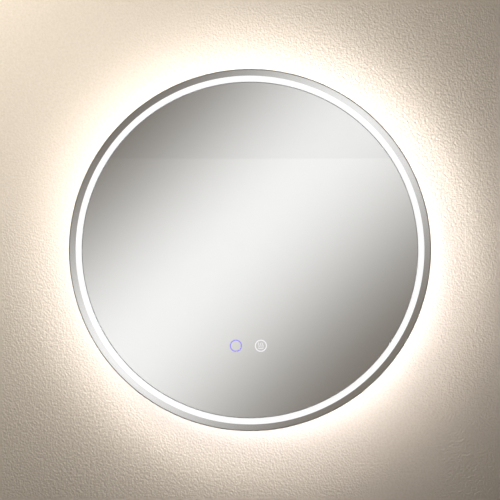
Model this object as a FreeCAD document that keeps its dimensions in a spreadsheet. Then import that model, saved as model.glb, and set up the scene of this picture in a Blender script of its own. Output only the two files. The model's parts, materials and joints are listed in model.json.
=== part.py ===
"""Round bathroom mirror with a lit frosted band in front and a halo of light on the wall behind.

The mirror hangs on a steel bar screwed to the wall.  Row frame: the origin is on the wall plane, midway
between the bar's screws, +X to the right, +Y into the wall, +Z up.  Every piece is drawn in its own front
view: sketch x to the right, sketch y up and z out of the wall, with the mirror's centre on the wall plane as
the zero of the places below.  All sizes are millimetres.
"""
import FreeCAD, Part
import math
import os
import re
import Sketcher

Vector = FreeCAD.Vector
FRONT_VIEW = FreeCAD.Rotation(Vector(1, 0, 0), 90)

# ---------------------------------------------------------------- sizes that can be set by themselves
SIZES = [
    # glass and silvering
    ("mirror_diameter", "600", "glass disc"),
    ("glass_thickness", "5", "float glass"),
    ("glass_arris", "0.8", "ground bevel on both rims"),
    ("front_standoff", "40", "front of the glass from the wall"),
    ("silver_thickness", "0.2", "silvering and its backing paint"),
    ("silver_margin", "0.5", "silvering stops short of the rim"),
    ("rim_width", "11", "clear mirror outside the frosted band"),
    ("band_width", "11", "frosted band"),
    ("etch_depth", "0.2", "frosting ground into the back of the glass"),
    ("icon_diameter", "20", "ring round each touch key"),
    ("icon_stroke", "1.8", "line of that ring"),
    ("icon_spacing", "41.4", "between the two touch keys"),
    ("icon_drop", "158.7", "touch keys below the mirror's centre"),
    ("icon_shift", "2.7", "pair of keys left of the centre line"),
    # bonding tape and aluminium frame ring
    ("tape_thickness", "1", "foam tape between silvering and frame"),
    ("tape_width", "12", "foam tape"),
    ("frame_wall", "2", "upright wall of the frame ring"),
    ("frame_rear_gap", "5", "rear edge of the ring from the wall"),
    ("bond_flange_width", "14", "flange that carries the glass"),
    ("bond_flange_thickness", "1.6", "flange that carries the glass"),
    ("panel_flange_width", "12", "flange that carries the back panel"),
    ("panel_flange_thickness", "1.6", "flange that carries the back panel"),
    ("shelf_standoff", "20", "rear of the lamp shelf from the wall"),
    ("shelf_width", "20", "lamp shelf"),
    ("shelf_thickness", "1.5", "lamp shelf"),
    ("rib_height", "1.2", "clip ribs that hold the diffuser"),
    ("rib_thickness", "1.2", "clip ribs that hold the diffuser"),
    # opal diffuser
    ("diffuser_inset", "9", "diffuser's outer face from the glass rim"),
    ("diffuser_wall", "1.5", "opal acrylic"),
    ("diffuser_round", "2", "outer corners"),
    ("chamber_width", "23.5", "light chamber between frame wall and diffuser"),
    ("diffuser_front_gap", "0.3", "diffuser behind the silvering"),
    ("diffuser_rear_gap", "6", "diffuser from the wall"),
    ("clip_clearance", "0.2", "diffuser legs in the clip ribs"),
    # lamp tapes
    ("lamp_tape_width", "8", "flexible circuit"),
    ("lamp_tape_thickness", "0.3", "flexible circuit"),
    ("lamp_tape_gap", "26", "between the two ends of a tape"),
    ("solder_length", "7", "bare end of a tape, where its lead is soldered"),
    ("shelf_margin", "1", "front tape from the shelf's edge"),
    ("lamp_pitch", "16.7", "sixty lamps to the metre"),
    ("lamp_length", "3.5", "lamp chip along the tape"),
    ("lamp_width", "2.8", "lamp chip across the tape"),
    ("lamp_height", "0.8", "lamp chip"),
    # back panel
    ("panel_standoff", "10", "rear of the back panel from the wall"),
    ("panel_thickness", "1", "zinc-coated sheet"),
    ("panel_edge_gap", "0.5", "panel inside the frame wall"),
    ("panel_screw_count", "10", "screws round the panel"),
    ("vent_length", "24", "cooling slot"),
    ("vent_width", "3", "cooling slot"),
    ("vent_pitch", "10", "cooling slots"),
    ("vent_margin", "18", "slots from the panel's edge"),
    ("vent_count", "9", "slots in each group"),
    # screws
    ("screw_diameter", "4", "panel, hanger and earth screws"),
    ("screw_head_diameter", "7.6", "pan head"),
    ("screw_head_height", "2.2", "pan head"),
    ("screw_hole_play", "0.4", "added to a clearance hole's diameter"),
    ("thread_play", "0.1", "added to a threaded hole's diameter"),
    ("panel_screw_length", "6", "under the head"),
    ("small_screw_diameter", "3", "clamp and terminal screws"),
    ("small_screw_head_diameter", "5.6", "pan head"),
    ("small_screw_head_height", "1.8", "pan head"),
    ("nut_across_flats", "7", "hexagon nut"),
    ("nut_height", "3.2", "hexagon nut"),
    # wall bar and hanger
    ("bar_inset", "114", "screw line below the inside of the frame wall"),
    ("bar_length", "300", "wall bar"),
    ("hanger_length", "260", "hanger on the mirror"),
    ("bar_gauge", "2", "bent steel of both bars"),
    ("bar_foot", "9", "wall bar below the screw line"),
    ("bar_step", "10", "underside of the step above the screw line"),
    ("bar_lip_height", "12", "upright lip above the step"),
    ("bend_round", "1.5", "outside of each bend"),
    ("hook_wall_gap", "1.8", "hook from the wall"),
    ("hook_clearance", "0.4", "hook behind the lip"),
    ("hook_floor_gap", "1", "end of the hook above the step"),
    ("hanger_plate_height", "20", "hanger plate above its step"),
    ("hanger_screw_rise", "12", "hanger screws above the lip's top"),
    ("hanger_screw_inner", "45", "inner pair either side of the centre"),
    ("hanger_screw_outer", "105", "outer pair either side of the centre"),
    ("hanger_screw_length", "9", "under the head"),
    ("wall_slot_length", "12", "slot for a wall screw"),
    ("wall_slot_width", "5.5", "slot for a wall screw"),
    ("wall_slot_inner", "40", "inner slots either side of the centre"),
    ("wall_slot_outer", "120", "outer slots either side of the centre"),
    # bumpers
    ("bumper_diameter", "20", "rubber bumper at the panel"),
    ("bumper_tip_diameter", "15", "rubber bumper at the wall"),
    ("bumper_inset", "38", "bumper centres from the panel's edge"),
    ("bumper_low_angle", "48", "lower pair below the horizontal, in degrees"),
    ("bumper_high_angle", "10", "upper pair above the horizontal, in degrees"),
    ("bumper_round", "1.5", "rim of the tip"),
    # terminal box, behind the service cover
    ("box_x", "80", "terminal box right of the centre"),
    ("box_drop", "60", "terminal box below the centre"),
    ("box_length", "100", "terminal box"),
    ("box_height", "64", "terminal box"),
    ("box_depth", "20", "terminal box"),
    ("box_wall", "2", "terminal box"),
    ("box_boss_diameter", "9", "corner bosses"),
    ("box_boss_inset", "5", "boss centres from the box's edges"),
    ("box_screw_depth", "11", "holes in the corner bosses"),
    ("service_length", "80", "service opening in the panel"),
    ("service_height", "44", "service opening in the panel"),
    ("cover_overlap", "2", "cover past the terminal box"),
    ("cover_thickness", "1", "service cover"),
    ("cover_round", "4", "corners of the cover"),
    ("gasket_thickness", "1", "foam gasket under the cover"),
    ("gasket_inset", "2", "gasket opening past the service opening"),
    ("cover_screw_length", "11", "under the head"),
    ("grommet_x", "26", "cable grommet right of the box's centre"),
    ("grommet_bore", "8.2", "for the supply cable"),
    ("grommet_neck", "12", "grommet where the cover grips it"),
    ("grommet_flange", "18", "grommet flanges"),
    ("grommet_flange_thickness", "1.5", "grommet flanges"),
    ("block_x", "14", "terminal block left of the box's centre"),
    ("block_width", "24", "terminal block"),
    ("block_length", "36", "terminal block"),
    ("block_height", "15", "terminal block"),
    ("pole_pitch", "11", "three poles"),
    ("pole_bore", "4", "wire holes"),
    ("pole_rise", "9.5", "wire holes above the block's rear face"),
    ("well_depth", "5.5", "screw wells"),
    ("clamp_x", "8", "cord clamp right of the box's centre"),
    ("clamp_width", "8", "cord clamp"),
    ("clamp_length", "34", "cord clamp"),
    ("clamp_thickness", "4", "cord clamp"),
    ("clamp_rise", "6", "clamp above the box floor"),
    ("clamp_saddle", "8", "groove for the cable"),
    ("saddle_depth", "2", "groove for the cable"),
    ("clamp_round", "1.8", "corners of the clamp"),
    ("clamp_screw_spacing", "26", "clamp screws"),
    # lamp driver
    ("driver_x", "82", "driver left of the centre"),
    ("driver_drop", "78", "driver below the centre"),
    ("driver_length", "150", "driver case"),
    ("driver_width", "46", "driver case"),
    ("driver_height", "18", "driver case without its lid"),
    ("driver_wall", "1.8", "driver case"),
    ("driver_lid_thickness", "2", "driver lid"),
    ("driver_lip", "1.5", "lid's inner lip"),
    ("driver_play", "0.2", "lid's lip and board in the case"),
    ("ear_length", "10", "mounting ears"),
    ("ear_thickness", "3", "mounting ears"),
    ("ear_screw_spacing", "30", "screws of one ear"),
    ("ear_screw_length", "4.8", "under the head"),
    ("board_thickness", "1.6", "driver circuit board"),
    ("board_margin", "3", "board from the case wall"),
    ("board_rise", "3", "board above the case floor"),
    ("transformer_length", "26", "driver transformer"),
    ("transformer_width", "24", "driver transformer"),
    ("transformer_height", "9.5", "driver transformer"),
    ("cheek_notch_length", "15.6", "notch in each side of the transformer"),
    ("cheek_notch_width", "2.9", "notch in each side of the transformer"),
    ("choke_diameter", "14", "ring choke"),
    ("choke_bore", "6.3", "ring choke"),
    ("choke_height", "7", "ring choke"),
    ("capacitor_diameter", "8", "electrolytic capacitors"),
    ("capacitor_height", "9", "electrolytic capacitors"),
    ("capacitor_pitch", "10", "electrolytic capacitors"),
    ("capacitor_round", "0.5", "rim of the cans"),
    # demister film
    ("film_width", "300", "heating film"),
    ("film_height", "210", "heating film"),
    ("film_thickness", "0.4", "heating film"),
    ("film_rise", "30", "film above the mirror's centre"),
    ("film_round", "15", "film corners"),
    ("tab_width", "16", "solder tab cover"),
    ("tab_height", "10", "solder tab cover"),
    ("tab_thickness", "2.4", "solder tab cover"),
    ("tab_round", "2.4", "corners of the tab cover"),
    # touch sensors
    ("pad_thickness", "0.8", "adhesive ring on the silvering"),
    ("pad_bore", "24", "adhesive ring"),
    ("sensor_diameter", "34", "sensor case"),
    ("sensor_depth", "9", "sensor case"),
    ("sensor_wall", "1.5", "sensor case"),
    ("sensor_ledge", "1.5", "ledge under the sensor board"),
    ("sensor_board_rise", "3", "board above the case's rear face"),
    ("sensor_board_thickness", "1.2", "sensor board"),
    ("sensor_play", "0.2", "board in the case"),
    ("electrode_diameter", "11", "conductive foam"),
    # leads
    ("mains_lead_diameter", "5", "terminal box to driver"),
    ("supply_lead_diameter", "4", "driver output and demister supply"),
    ("strip_lead_diameter", "2.5", "lamp tapes, demister film and earth"),
    ("lead_rise", "6", "leads above the inside of the panel"),
    ("lead_bend_limit", "12", "largest bend of a lead"),
    ("lead_straight", "12", "straight stretch outside a case before the first bend"),
    ("lead_entry", "3", "how far a lead reaches into a sensor case"),
    ("lead_play", "0.4", "added to a lead's diameter for its hole"),
    ("sleeve_wall", "0.8", "rubber sleeves in the frame wall"),
    ("sleeve_flange", "1", "flange of the rubber sleeves"),
    ("sleeve_clearance", "0.2", "sleeve flange from the panel flange"),
    ("clip_length", "10", "lead clips"),
    ("clip_width", "12", "lead clips"),
    ("clip_top", "2", "lead clips above the lead"),
    # earth
    ("earth_x", "150", "earth screw right of the centre"),
    ("earth_drop", "20", "earth screw below the centre"),
    ("earth_screw_length", "9", "under the head"),
    ("lug_ring_diameter", "10", "ring of the earth lug"),
    ("lug_thickness", "0.8", "metal of the earth lug"),
    ("lug_barrel_length", "9", "barrel of the earth lug"),
]

# ---------------------------------------------------------------- places worked out from the sizes
PLACES = [
    ("mirror_radius", "mirror_diameter / 2"),
    ("glass_back", "front_standoff - glass_thickness"),
    ("silver_back", "glass_back - silver_thickness"),
    ("band_outer", "mirror_radius - rim_width"),
    ("band_inner", "band_outer - band_width"),
    ("light_key_x", "-icon_spacing / 2 - icon_shift"),
    ("demister_key_x", "icon_spacing / 2 - icon_shift"),
    ("frame_front", "silver_back - tape_thickness"),
    ("diffuser_outer", "mirror_radius - diffuser_inset"),
    ("diffuser_inner", "diffuser_outer - diffuser_wall"),
    ("diffuser_front", "silver_back - diffuser_front_gap"),
    ("wall_outer", "diffuser_inner - chamber_width"),
    ("wall_inner", "wall_outer - frame_wall"),
    ("shelf_outer", "wall_outer + shelf_width"),
    ("shelf_front", "shelf_standoff + shelf_thickness"),
    ("rear_rib_top", "diffuser_rear_gap + diffuser_wall + clip_clearance + rib_thickness"),
    ("front_lamp_radius", "shelf_outer - shelf_margin - lamp_tape_width / 2"),
    ("tape_front", "shelf_front + lamp_tape_thickness"),
    ("side_lamp_standoff", "(rear_rib_top + shelf_standoff) / 2"),
    ("panel_front", "panel_standoff + panel_thickness"),
    ("panel_radius", "wall_inner - panel_edge_gap"),
    ("panel_screw_radius", "wall_inner - panel_flange_width / 2"),
    ("vent_centre", "panel_radius - panel_flange_width - vent_margin - vent_length / 2"),
    ("bar_height", "wall_inner - bar_inset"),
    ("hook_back", "hook_wall_gap"),
    ("hook_front", "hook_wall_gap + bar_gauge"),
    ("lip_back", "hook_front + hook_clearance"),
    ("lip_front", "lip_back + bar_gauge"),
    ("lip_top", "bar_step + bar_gauge + bar_lip_height"),
    ("hanger_screw_height", "bar_height + lip_top + hanger_screw_rise"),
    ("bumper_circle", "panel_radius - bumper_inset"),
    ("box_floor", "panel_front + box_depth - box_wall"),
    ("cover_length", "box_length + 2 * cover_overlap"),
    ("cover_height", "box_height + 2 * cover_overlap"),
    ("cover_front", "panel_standoff - gasket_thickness"),
    ("cover_rear", "cover_front - cover_thickness"),
    ("lead_standoff", "panel_front + lead_rise"),
    ("block_centre_x", "box_x - block_x"),
    ("sleeve_bore", "strip_lead_diameter + lead_play"),
    ("sleeve_diameter", "sleeve_bore + 2 * sleeve_wall"),
    ("sleeve_flange_diameter", "sleeve_diameter + 2 * sleeve_flange"),
    ("lead_hole_offset", "lamp_tape_gap / 2 + solder_length / 2"),
    ("front_hole_standoff", "tape_front + strip_lead_diameter / 2"),
    ("side_hole_standoff",
     "panel_front + panel_flange_thickness + sleeve_clearance + sleeve_flange_diameter / 2"),
    ("case_front", "silver_back - pad_thickness"),
    ("case_rear", "case_front - sensor_depth"),
    ("sensor_board_rear", "case_rear + sensor_board_rise"),
    ("sensor_board_front", "sensor_board_rear + sensor_board_thickness"),
    ("sensor_lead_standoff", "(sensor_board_front + case_front) / 2"),
    ("film_rear", "silver_back - film_thickness"),
    ("film_foot", "film_height / 2 - film_rise"),
    ("board_rear", "panel_front + driver_wall + board_rise"),
    ("board_front", "board_rear + board_thickness"),
    ("lug_centre", "strip_lead_diameter / 2 + lug_thickness"),
]

doc = FreeCAD.newDocument("lighted_mirror")
sizes = doc.addObject("Spreadsheet::Sheet", "Sizes")
places = doc.addObject("Spreadsheet::Sheet", "Places")
SHEET_OF = {row[0]: "Sizes" for row in SIZES}
SHEET_OF.update({row[0]: "Places" for row in PLACES})


def named(formula, home=None):
    """The formula with each size's name led by its sheet, apart from names of the sheet that it stands in."""
    def with_sheet(match):
        word = match.group(0)
        sheet = SHEET_OF.get(word)
        return word if sheet in (None, home) else f"{sheet}.{word}"
    return re.sub(r"[a-z_]+", with_sheet, formula)


for row, (alias, value, meaning) in enumerate(SIZES, start=1):
    sizes.set(f"A{row}", alias)
    sizes.set(f"B{row}", value)
    sizes.set(f"C{row}", meaning)
    sizes.setAlias(f"B{row}", alias)
for row, (alias, formula) in enumerate(PLACES, start=1):
    places.set(f"A{row}", alias)
    places.setAlias(f"B{row}", alias)
for row, (alias, formula) in enumerate(PLACES, start=1):
    places.set(f"B{row}", "=" + named(formula, home="Places"))
doc.recompute()


def value(formula):
    """A formula of sizes and places as a number, for first drafts of sketches and for shapes made in code."""
    return float(places.evalExpression(named(formula)))


# ---------------------------------------------------------------- sketching helpers
def seat(piece, x="0", up="0", out="0"):
    """Stands a piece's own zero at a place in the front view; out is its distance from the wall."""
    piece.Placement = FreeCAD.Placement(Vector(0, 0, 0), FRONT_VIEW)
    piece.setExpression("Placement.Base.x", named(x))
    piece.setExpression("Placement.Base.y", named(f"-({out})"))
    piece.setExpression("Placement.Base.z", named(f"({up}) - bar_height"))
    return piece


def new_body(label, x="0", up="0", out="0"):
    body = doc.addObject("PartDesign::Body", label)
    body.AllowCompound = True
    return seat(body, x, up, out)


def new_sketch(body, plane="XY_Plane", lift="0"):
    """An empty sketch on one of the body's own planes, lifted along that plane's normal.

    XY_Plane faces out of the wall, YZ_Plane faces right and XZ_Plane faces down.
    """
    sketch = body.newObject("Sketcher::SketchObject", body.Label + "_sketch")
    support = [f for f in body.Origin.OriginFeatures if f.Role == plane][0]
    sketch.AttachmentSupport = [(support, "")]
    sketch.MapMode = "FlatFace"
    sketch.setExpression("AttachmentOffset.Base.z", named(lift))
    return sketch


def constrain(sketch, free, bound):
    """Adds plain constraints, then ones whose values follow formulas, given as (parts of it, formula)."""
    start = sketch.ConstraintCount + len(free)
    driven = [Sketcher.Constraint(*parts, value(formula)) for parts, formula in bound]
    sketch.addConstraint(free + driven)
    for index, (parts, formula) in enumerate(bound, start=start):
        sketch.setExpression(f"Constraints[{index}]", named(formula))


def at(geometry, point, x, y):
    """Bound constraints that hold a point of a sketch at two formulas from the sketch's zero."""
    return [(("DistanceX", -1, 1, geometry, point), x), (("DistanceY", -1, 1, geometry, point), y)]


def polygon(sketch, corners):
    """A closed outline through corners given as pairs of formulas."""
    first, count = sketch.GeometryCount, len(corners)
    spots = [Vector(value(x), value(y), 0) for x, y in corners]
    sides = [(spots[i], spots[(i + 1) % count]) for i in range(count)]
    sketch.addGeometry([Part.LineSegment(*side) for side in sides], False)
    joints = []
    for i in range(count):
        joints.append(Sketcher.Constraint("Coincident", first + i, 2, first + (i + 1) % count, 1))
    bound = []
    for i, (x, y) in enumerate(corners):
        bound += at(first + i, 1, x, y)
    constrain(sketch, joints, bound)


def rectangle(sketch, length, height, x="0", y="0"):
    """A rectangle of that length and height about a centre."""
    left, right = f"({x}) - ({length}) / 2", f"({x}) + ({length}) / 2"
    low, high = f"({y}) - ({height}) / 2", f"({y}) + ({height}) / 2"
    polygon(sketch, [(left, low), (right, low), (right, high), (left, high)])


def circle(sketch, diameter, x="0", y="0"):
    index = sketch.GeometryCount
    centre = Vector(value(x), value(y), 0)
    sketch.addGeometry(Part.Circle(centre, Vector(0, 0, 1), value(diameter) / 2), False)
    constrain(sketch, [], at(index, 3, x, y) + [(("Diameter", index), diameter)])


def slot(sketch, length, width, x, y, upright=False):
    """A round-ended slot of that overall length about a centre, along the sketch's x or, upright, its y."""
    reach = f"(({length}) - ({width})) / 2"
    half, radius = value(reach), value(width) / 2
    along = Vector(0, 1, 0) if upright else Vector(1, 0, 0)
    across = Vector(-along.y, along.x, 0) * radius
    centre = Vector(value(x), value(y), 0)
    head, tail = centre + along * half, centre - along * half
    first = sketch.GeometryCount
    sketch.addGeometry([
        Part.Arc(head - across, head + along * radius, head + across),
        Part.LineSegment(head + across, tail + across),
        Part.Arc(tail + across, tail - along * radius, tail - across),
        Part.LineSegment(tail - across, head - across),
    ], False)
    free = [Sketcher.Constraint("Tangent", first + i, 2, first + (i + 1) % 4, 1) for i in range(4)]
    free.append(Sketcher.Constraint("Equal", first, first + 2))
    bound = [(("Radius", first), f"({width}) / 2")]
    for index, sign in ((first, "+"), (first + 2, "-")):
        if upright:
            bound += at(index, 3, x, f"({y}) {sign} {reach}")
        else:
            bound += at(index, 3, f"({x}) {sign} {reach}", y)
    constrain(sketch, free, bound)


def feature(body, kind, sketch, **formulas):
    """A feature on a sketch, with its sizes bound to formulas."""
    made = body.newObject("PartDesign::" + kind, body.Label + "_" + kind.lower())
    made.Profile = sketch
    for name, formula in formulas.items():
        made.setExpression(name, named(formula))
    return made


def pad(body, sketch, length):
    return feature(body, "Pad", sketch, Length=length)


def cut(body, sketch, depth, forward=False):
    """Cuts back from the sketch, or forward the way it faces, and proves that something was cut."""
    doc.recompute()
    before = body.Shape.Volume
    made = feature(body, "Pocket", sketch, Length=depth)
    made.Reversed = forward
    doc.recompute()
    if body.Shape.Volume > before - 1e-6:
        raise RuntimeError(f"{body.Label}: {made.Label} cuts nothing")
    return made


def turned(body, corners):
    """Turns an outline of (radius, distance from the wall) pairs about the body's axis."""
    sketch = new_sketch(body, "XZ_Plane")
    polygon(sketch, corners)
    made = feature(body, "Revolution", sketch)
    made.ReferenceAxis = (sketch, ["V_Axis"])
    made.Angle = 360
    return made


def ring_plate(body, outer, inner, thickness):
    """A flat ring from its outer and inner diameters."""
    sketch = new_sketch(body)
    circle(sketch, outer)
    circle(sketch, inner)
    return pad(body, sketch, thickness)


def dress(body, kind, size, wanted, formula):
    """Fillets or chamfers the edges of the body's solid that wanted() picks."""
    doc.recompute()
    tip = body.Tip
    names = [f"Edge{i}" for i, edge in enumerate(tip.Shape.Edges, start=1) if wanted(edge)]
    if not names:
        raise RuntimeError(f"{body.Label}: no edge to {kind.lower()}")
    made = body.newObject("PartDesign::" + kind, body.Label + "_" + kind.lower())
    made.Base = (tip, names)
    made.setExpression(size, named(formula))
    return made


def fillet(body, wanted, radius):
    return dress(body, "Fillet", "Radius", wanted, radius)


def upright(edge):
    """True for a straight edge that runs out from the wall, in the body's own view."""
    return isinstance(edge.Curve, Part.Line) and abs(edge.Curve.Direction.z) > 0.999


def polar(body, made, count):
    """Repeats a feature evenly round the body's axis."""
    pattern = body.newObject("PartDesign::PolarPattern", body.Label + "_pattern")
    pattern.Originals = [made]
    pattern.Axis = (made.Profile[0], ["N_Axis"])
    pattern.Angle = 360
    pattern.setExpression("Occurrences", named(count))
    body.Tip = pattern
    return pattern


def along_row(body, made, count, pitch):
    """Repeats a feature to the right at a pitch."""
    pattern = body.newObject("PartDesign::LinearPattern", body.Label + "_pattern")
    pattern.Originals = [made]
    pattern.Direction = (made.Profile[0], ["H_Axis"])
    pattern.setExpression("Length", named(f"({count} - 1) * {pitch}"))
    pattern.setExpression("Occurrences", named(count))
    body.Tip = pattern
    return pattern


def mirrored(x):
    """A formula and its negative: the right and left of a centre line."""
    return [f"({x})", f"-({x})"]


def four(x, y):
    """The four corners at those distances from a centre."""
    return [(across, up) for across in mirrored(x) for up in mirrored(y)]


# ---------------------------------------------------------------- helpers for groups and leads
def shown(label, shape, x="0", up="0", out="0"):
    """A piece whose shape is worked out in code, in the same front view."""
    piece = doc.addObject("Part::Feature", label)
    piece.Shape = shape
    seat(piece, x, up, out)


def cylinder(diameter, height, base=0.0):
    """A round bar that stands out of the wall from a base height."""
    return Part.makeCylinder(diameter / 2, height, Vector(0, 0, base))


# shares of a pan head: its rounded rim and its crossed recess
HEAD_ROUND, RECESS_ARM, RECESS_BLADE, RECESS_DEPTH = 0.45, 0.62, 0.13, 0.55


def pan_screw(size, length):
    """A pan-head screw with a crossed recess: its head seats at z 0 and its shank points out of the wall."""
    head_diameter, head_height = value(size + "_head_diameter"), value(size + "_head_height")
    head = cylinder(head_diameter, head_height, -head_height)
    rim = [e for e in head.Edges if e.BoundBox.ZMax < -0.999 * head_height and e.Length > head_diameter]
    head = head.makeFillet(HEAD_ROUND * head_height, rim)
    arm, blade, depth = RECESS_ARM * head_diameter, RECESS_BLADE * head_diameter, RECESS_DEPTH * head_height
    for length_x, length_y in ((arm, blade), (blade, arm)):
        corner = Vector(-length_x / 2, -length_y / 2, -head_height)
        head = head.cut(Part.makeBox(length_x, length_y, depth, corner))
    return head.fuse(cylinder(value(size + "_diameter"), value(length))).removeSplitter()


def hexagon_nut():
    """A nut that seats at z 0."""
    corner = value("nut_across_flats") / math.sqrt(3)
    turns = [math.radians(60 * i) for i in range(7)]
    outline = Part.makePolygon([Vector(corner * math.cos(a), corner * math.sin(a), 0) for a in turns])
    prism = Part.Face(outline).extrude(Vector(0, 0, value("nut_height")))
    return prism.cut(cylinder(value("screw_diameter + thread_play"), value("nut_height")))


def group(shape, spots):
    """Copies of one shape at (x, y) pairs of formulas, as separate solids."""
    copies = []
    for x, y in spots:
        copy = shape.copy()
        copy.translate(Vector(value(x), value(y), 0))
        copies.append(copy)
    return Part.makeCompound(copies)


BEND_SHARE = 0.45  # of the shorter run, taken up by the arc at its end


def lead(points, diameter):
    """A round lead along straight runs joined by tangent arcs, each arc as large as its two runs allow."""
    corners = [Vector(*point) for point in points]
    edges, here = [], corners[0]
    for before, corner, after in zip(corners, corners[1:], corners[2:]):
        into, away = corner - before, after - corner
        reach = BEND_SHARE * min(into.Length, away.Length)
        into.normalize()
        away.normalize()
        half_turn = into.getAngle(away) / 2
        if half_turn < 1e-4:
            continue
        radius = min(reach / math.tan(half_turn), value("lead_bend_limit"))
        back = radius * math.tan(half_turn)
        start, end = corner - into * back, corner + away * back
        middle = corner + (away - into).normalize() * (radius / math.cos(half_turn) - radius)
        edges += [Part.LineSegment(here, start).toShape(), Part.Arc(start, middle, end).toShape()]
        here = end
    edges.append(Part.LineSegment(here, corners[-1]).toShape())
    path = Part.Wire(edges)
    first = corners[1] - corners[0]
    section = Part.Wire(Part.makeCircle(diameter / 2, corners[0], first))
    solid = path.makePipeShell([section], True, True)
    expected = math.pi * diameter ** 2 / 4 * path.Length
    if abs(solid.Volume / expected - 1) > 0.01:
        raise RuntimeError("a lead's volume is not its section times its length")
    return solid


# ---------------------------------------------------------------- glass and silvering
def key_rings(sketch):
    """The two frosted rings round the touch keys."""
    for x in ("light_key_x", "demister_key_x"):
        circle(sketch, "icon_diameter", x, "-icon_drop")
        circle(sketch, "icon_diameter - 2 * icon_stroke", x, "-icon_drop")


def frosting(sketch):
    """Everything that is ground through to the glass: the band and the key rings."""
    circle(sketch, "2 * band_outer")
    circle(sketch, "2 * band_inner")
    key_rings(sketch)


def mirror_glass():
    """Float glass with ground rims; the frosting is a shallow cut in its back."""
    body = new_body("mirror_glass", out="glass_back")
    sketch = new_sketch(body)
    circle(sketch, "mirror_diameter")
    pad(body, sketch, "glass_thickness")
    radius = value("mirror_radius")
    dress(body, "Chamfer", "Size", lambda e: abs(e.Length - 2 * math.pi * radius) < 0.01, "glass_arris")
    sketch = new_sketch(body)
    frosting(sketch)
    cut(body, sketch, "etch_depth", forward=True)


def silver_layer():
    """Silvering and paint on the back of the glass, left off where the glass is frosted."""
    body = new_body("silver_layer", out="silver_back")
    sketch = new_sketch(body)
    circle(sketch, "mirror_diameter - 2 * silver_margin")
    pad(body, sketch, "silver_thickness")
    sketch = new_sketch(body, lift="silver_thickness")
    frosting(sketch)
    cut(body, sketch, "silver_thickness")


# ---------------------------------------------------------------- frame ring, diffuser and lamps
def bonding_tape():
    body = new_body("bonding_tape", out="frame_front")
    gap = "(bond_flange_width - tape_width) / 2"
    ring_plate(body, f"2 * (wall_inner - {gap})", f"2 * (wall_inner - {gap} - tape_width)", "tape_thickness")


def light_frame():
    """Rolled aluminium section: glass flange, lamp shelf, panel flange and ribs that grip the diffuser."""
    body = new_body("light_frame")
    rib = "wall_outer + rib_height"
    leg_top = "diffuser_rear_gap + diffuser_wall + clip_clearance"
    front_rib_top = "diffuser_front - diffuser_wall - clip_clearance"
    flange_inner = "wall_inner - bond_flange_width"
    panel_inner = "wall_inner - panel_flange_width"
    turned(body, [
        ("wall_inner", "frame_rear_gap"),
        (rib, "frame_rear_gap"),
        (rib, "diffuser_rear_gap - clip_clearance"),
        ("wall_outer", "diffuser_rear_gap - clip_clearance"),
        ("wall_outer", leg_top),
        (rib, leg_top),
        (rib, "rear_rib_top"),
        ("wall_outer", "rear_rib_top"),
        ("wall_outer", "shelf_standoff"),
        ("shelf_outer", "shelf_standoff"),
        ("shelf_outer", "shelf_front"),
        ("wall_outer", "shelf_front"),
        ("wall_outer", f"{front_rib_top} - rib_thickness"),
        (rib, f"{front_rib_top} - rib_thickness"),
        (rib, front_rib_top),
        ("wall_outer", front_rib_top),
        ("wall_outer", "frame_front"),
        (flange_inner, "frame_front"),
        (flange_inner, "frame_front - bond_flange_thickness"),
        ("wall_inner", "frame_front - bond_flange_thickness"),
        ("wall_inner", "panel_front + panel_flange_thickness"),
        (panel_inner, "panel_front + panel_flange_thickness"),
        (panel_inner, "panel_front"),
        ("wall_inner", "panel_front"),
    ])
    sketch = new_sketch(body, lift="panel_front + panel_flange_thickness")
    circle(sketch, "screw_diameter + thread_play", "panel_screw_radius", "0")
    polar(body, cut(body, sketch, "panel_flange_thickness"), "panel_screw_count")
    sketch = new_sketch(body, "XZ_Plane")
    circle(sketch, "sleeve_diameter", "-lead_hole_offset", "front_hole_standoff")
    circle(sketch, "sleeve_diameter", "lead_hole_offset", "side_hole_standoff")
    cut(body, sketch, "wall_outer", forward=True)


def opal_diffuser():
    """Opal channel clipped round the frame: it glows behind the frosted band, outward and at the wall."""
    body = new_body("opal_diffuser")
    foot = "wall_outer + clip_clearance"
    turned(body, [
        (foot, "diffuser_rear_gap"),
        ("diffuser_outer", "diffuser_rear_gap"),
        ("diffuser_outer", "diffuser_front"),
        (foot, "diffuser_front"),
        (foot, "diffuser_front - diffuser_wall"),
        ("diffuser_inner", "diffuser_front - diffuser_wall"),
        ("diffuser_inner", "diffuser_rear_gap + diffuser_wall"),
        (foot, "diffuser_rear_gap + diffuser_wall"),
    ])
    rim = 2 * math.pi * value("diffuser_outer")
    fillet(body, lambda e: abs(e.Length - rim) < 0.01, "diffuser_round")


def lamp_tape(label, corners, radius):
    """A flexible circuit bent to a ring that is open at the bottom, where its lead comes in."""
    body = new_body(label)
    sketch = new_sketch(body, "YZ_Plane")
    polygon(sketch, corners)
    made = feature(body, "Revolution", sketch, Angle=f"360 - lamp_tape_gap / ({radius}) * 180 / pi")
    made.ReferenceAxis = (sketch, ["V_Axis"])
    made.Midplane = True


def front_lamp_tape():
    inner = "front_lamp_radius - lamp_tape_width / 2"
    outer = "front_lamp_radius + lamp_tape_width / 2"
    corners = [(inner, "shelf_front"), (outer, "shelf_front"), (outer, "tape_front"), (inner, "tape_front")]
    lamp_tape("front_lamp_tape", corners, "front_lamp_radius")


def side_lamp_tape():
    low = "side_lamp_standoff - lamp_tape_width / 2"
    high = "side_lamp_standoff + lamp_tape_width / 2"
    outer = "wall_outer + lamp_tape_thickness"
    corners = [("wall_outer", low), (outer, low), (outer, high), ("wall_outer", high)]
    lamp_tape("side_lamp_tape", corners, "wall_outer")


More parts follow.
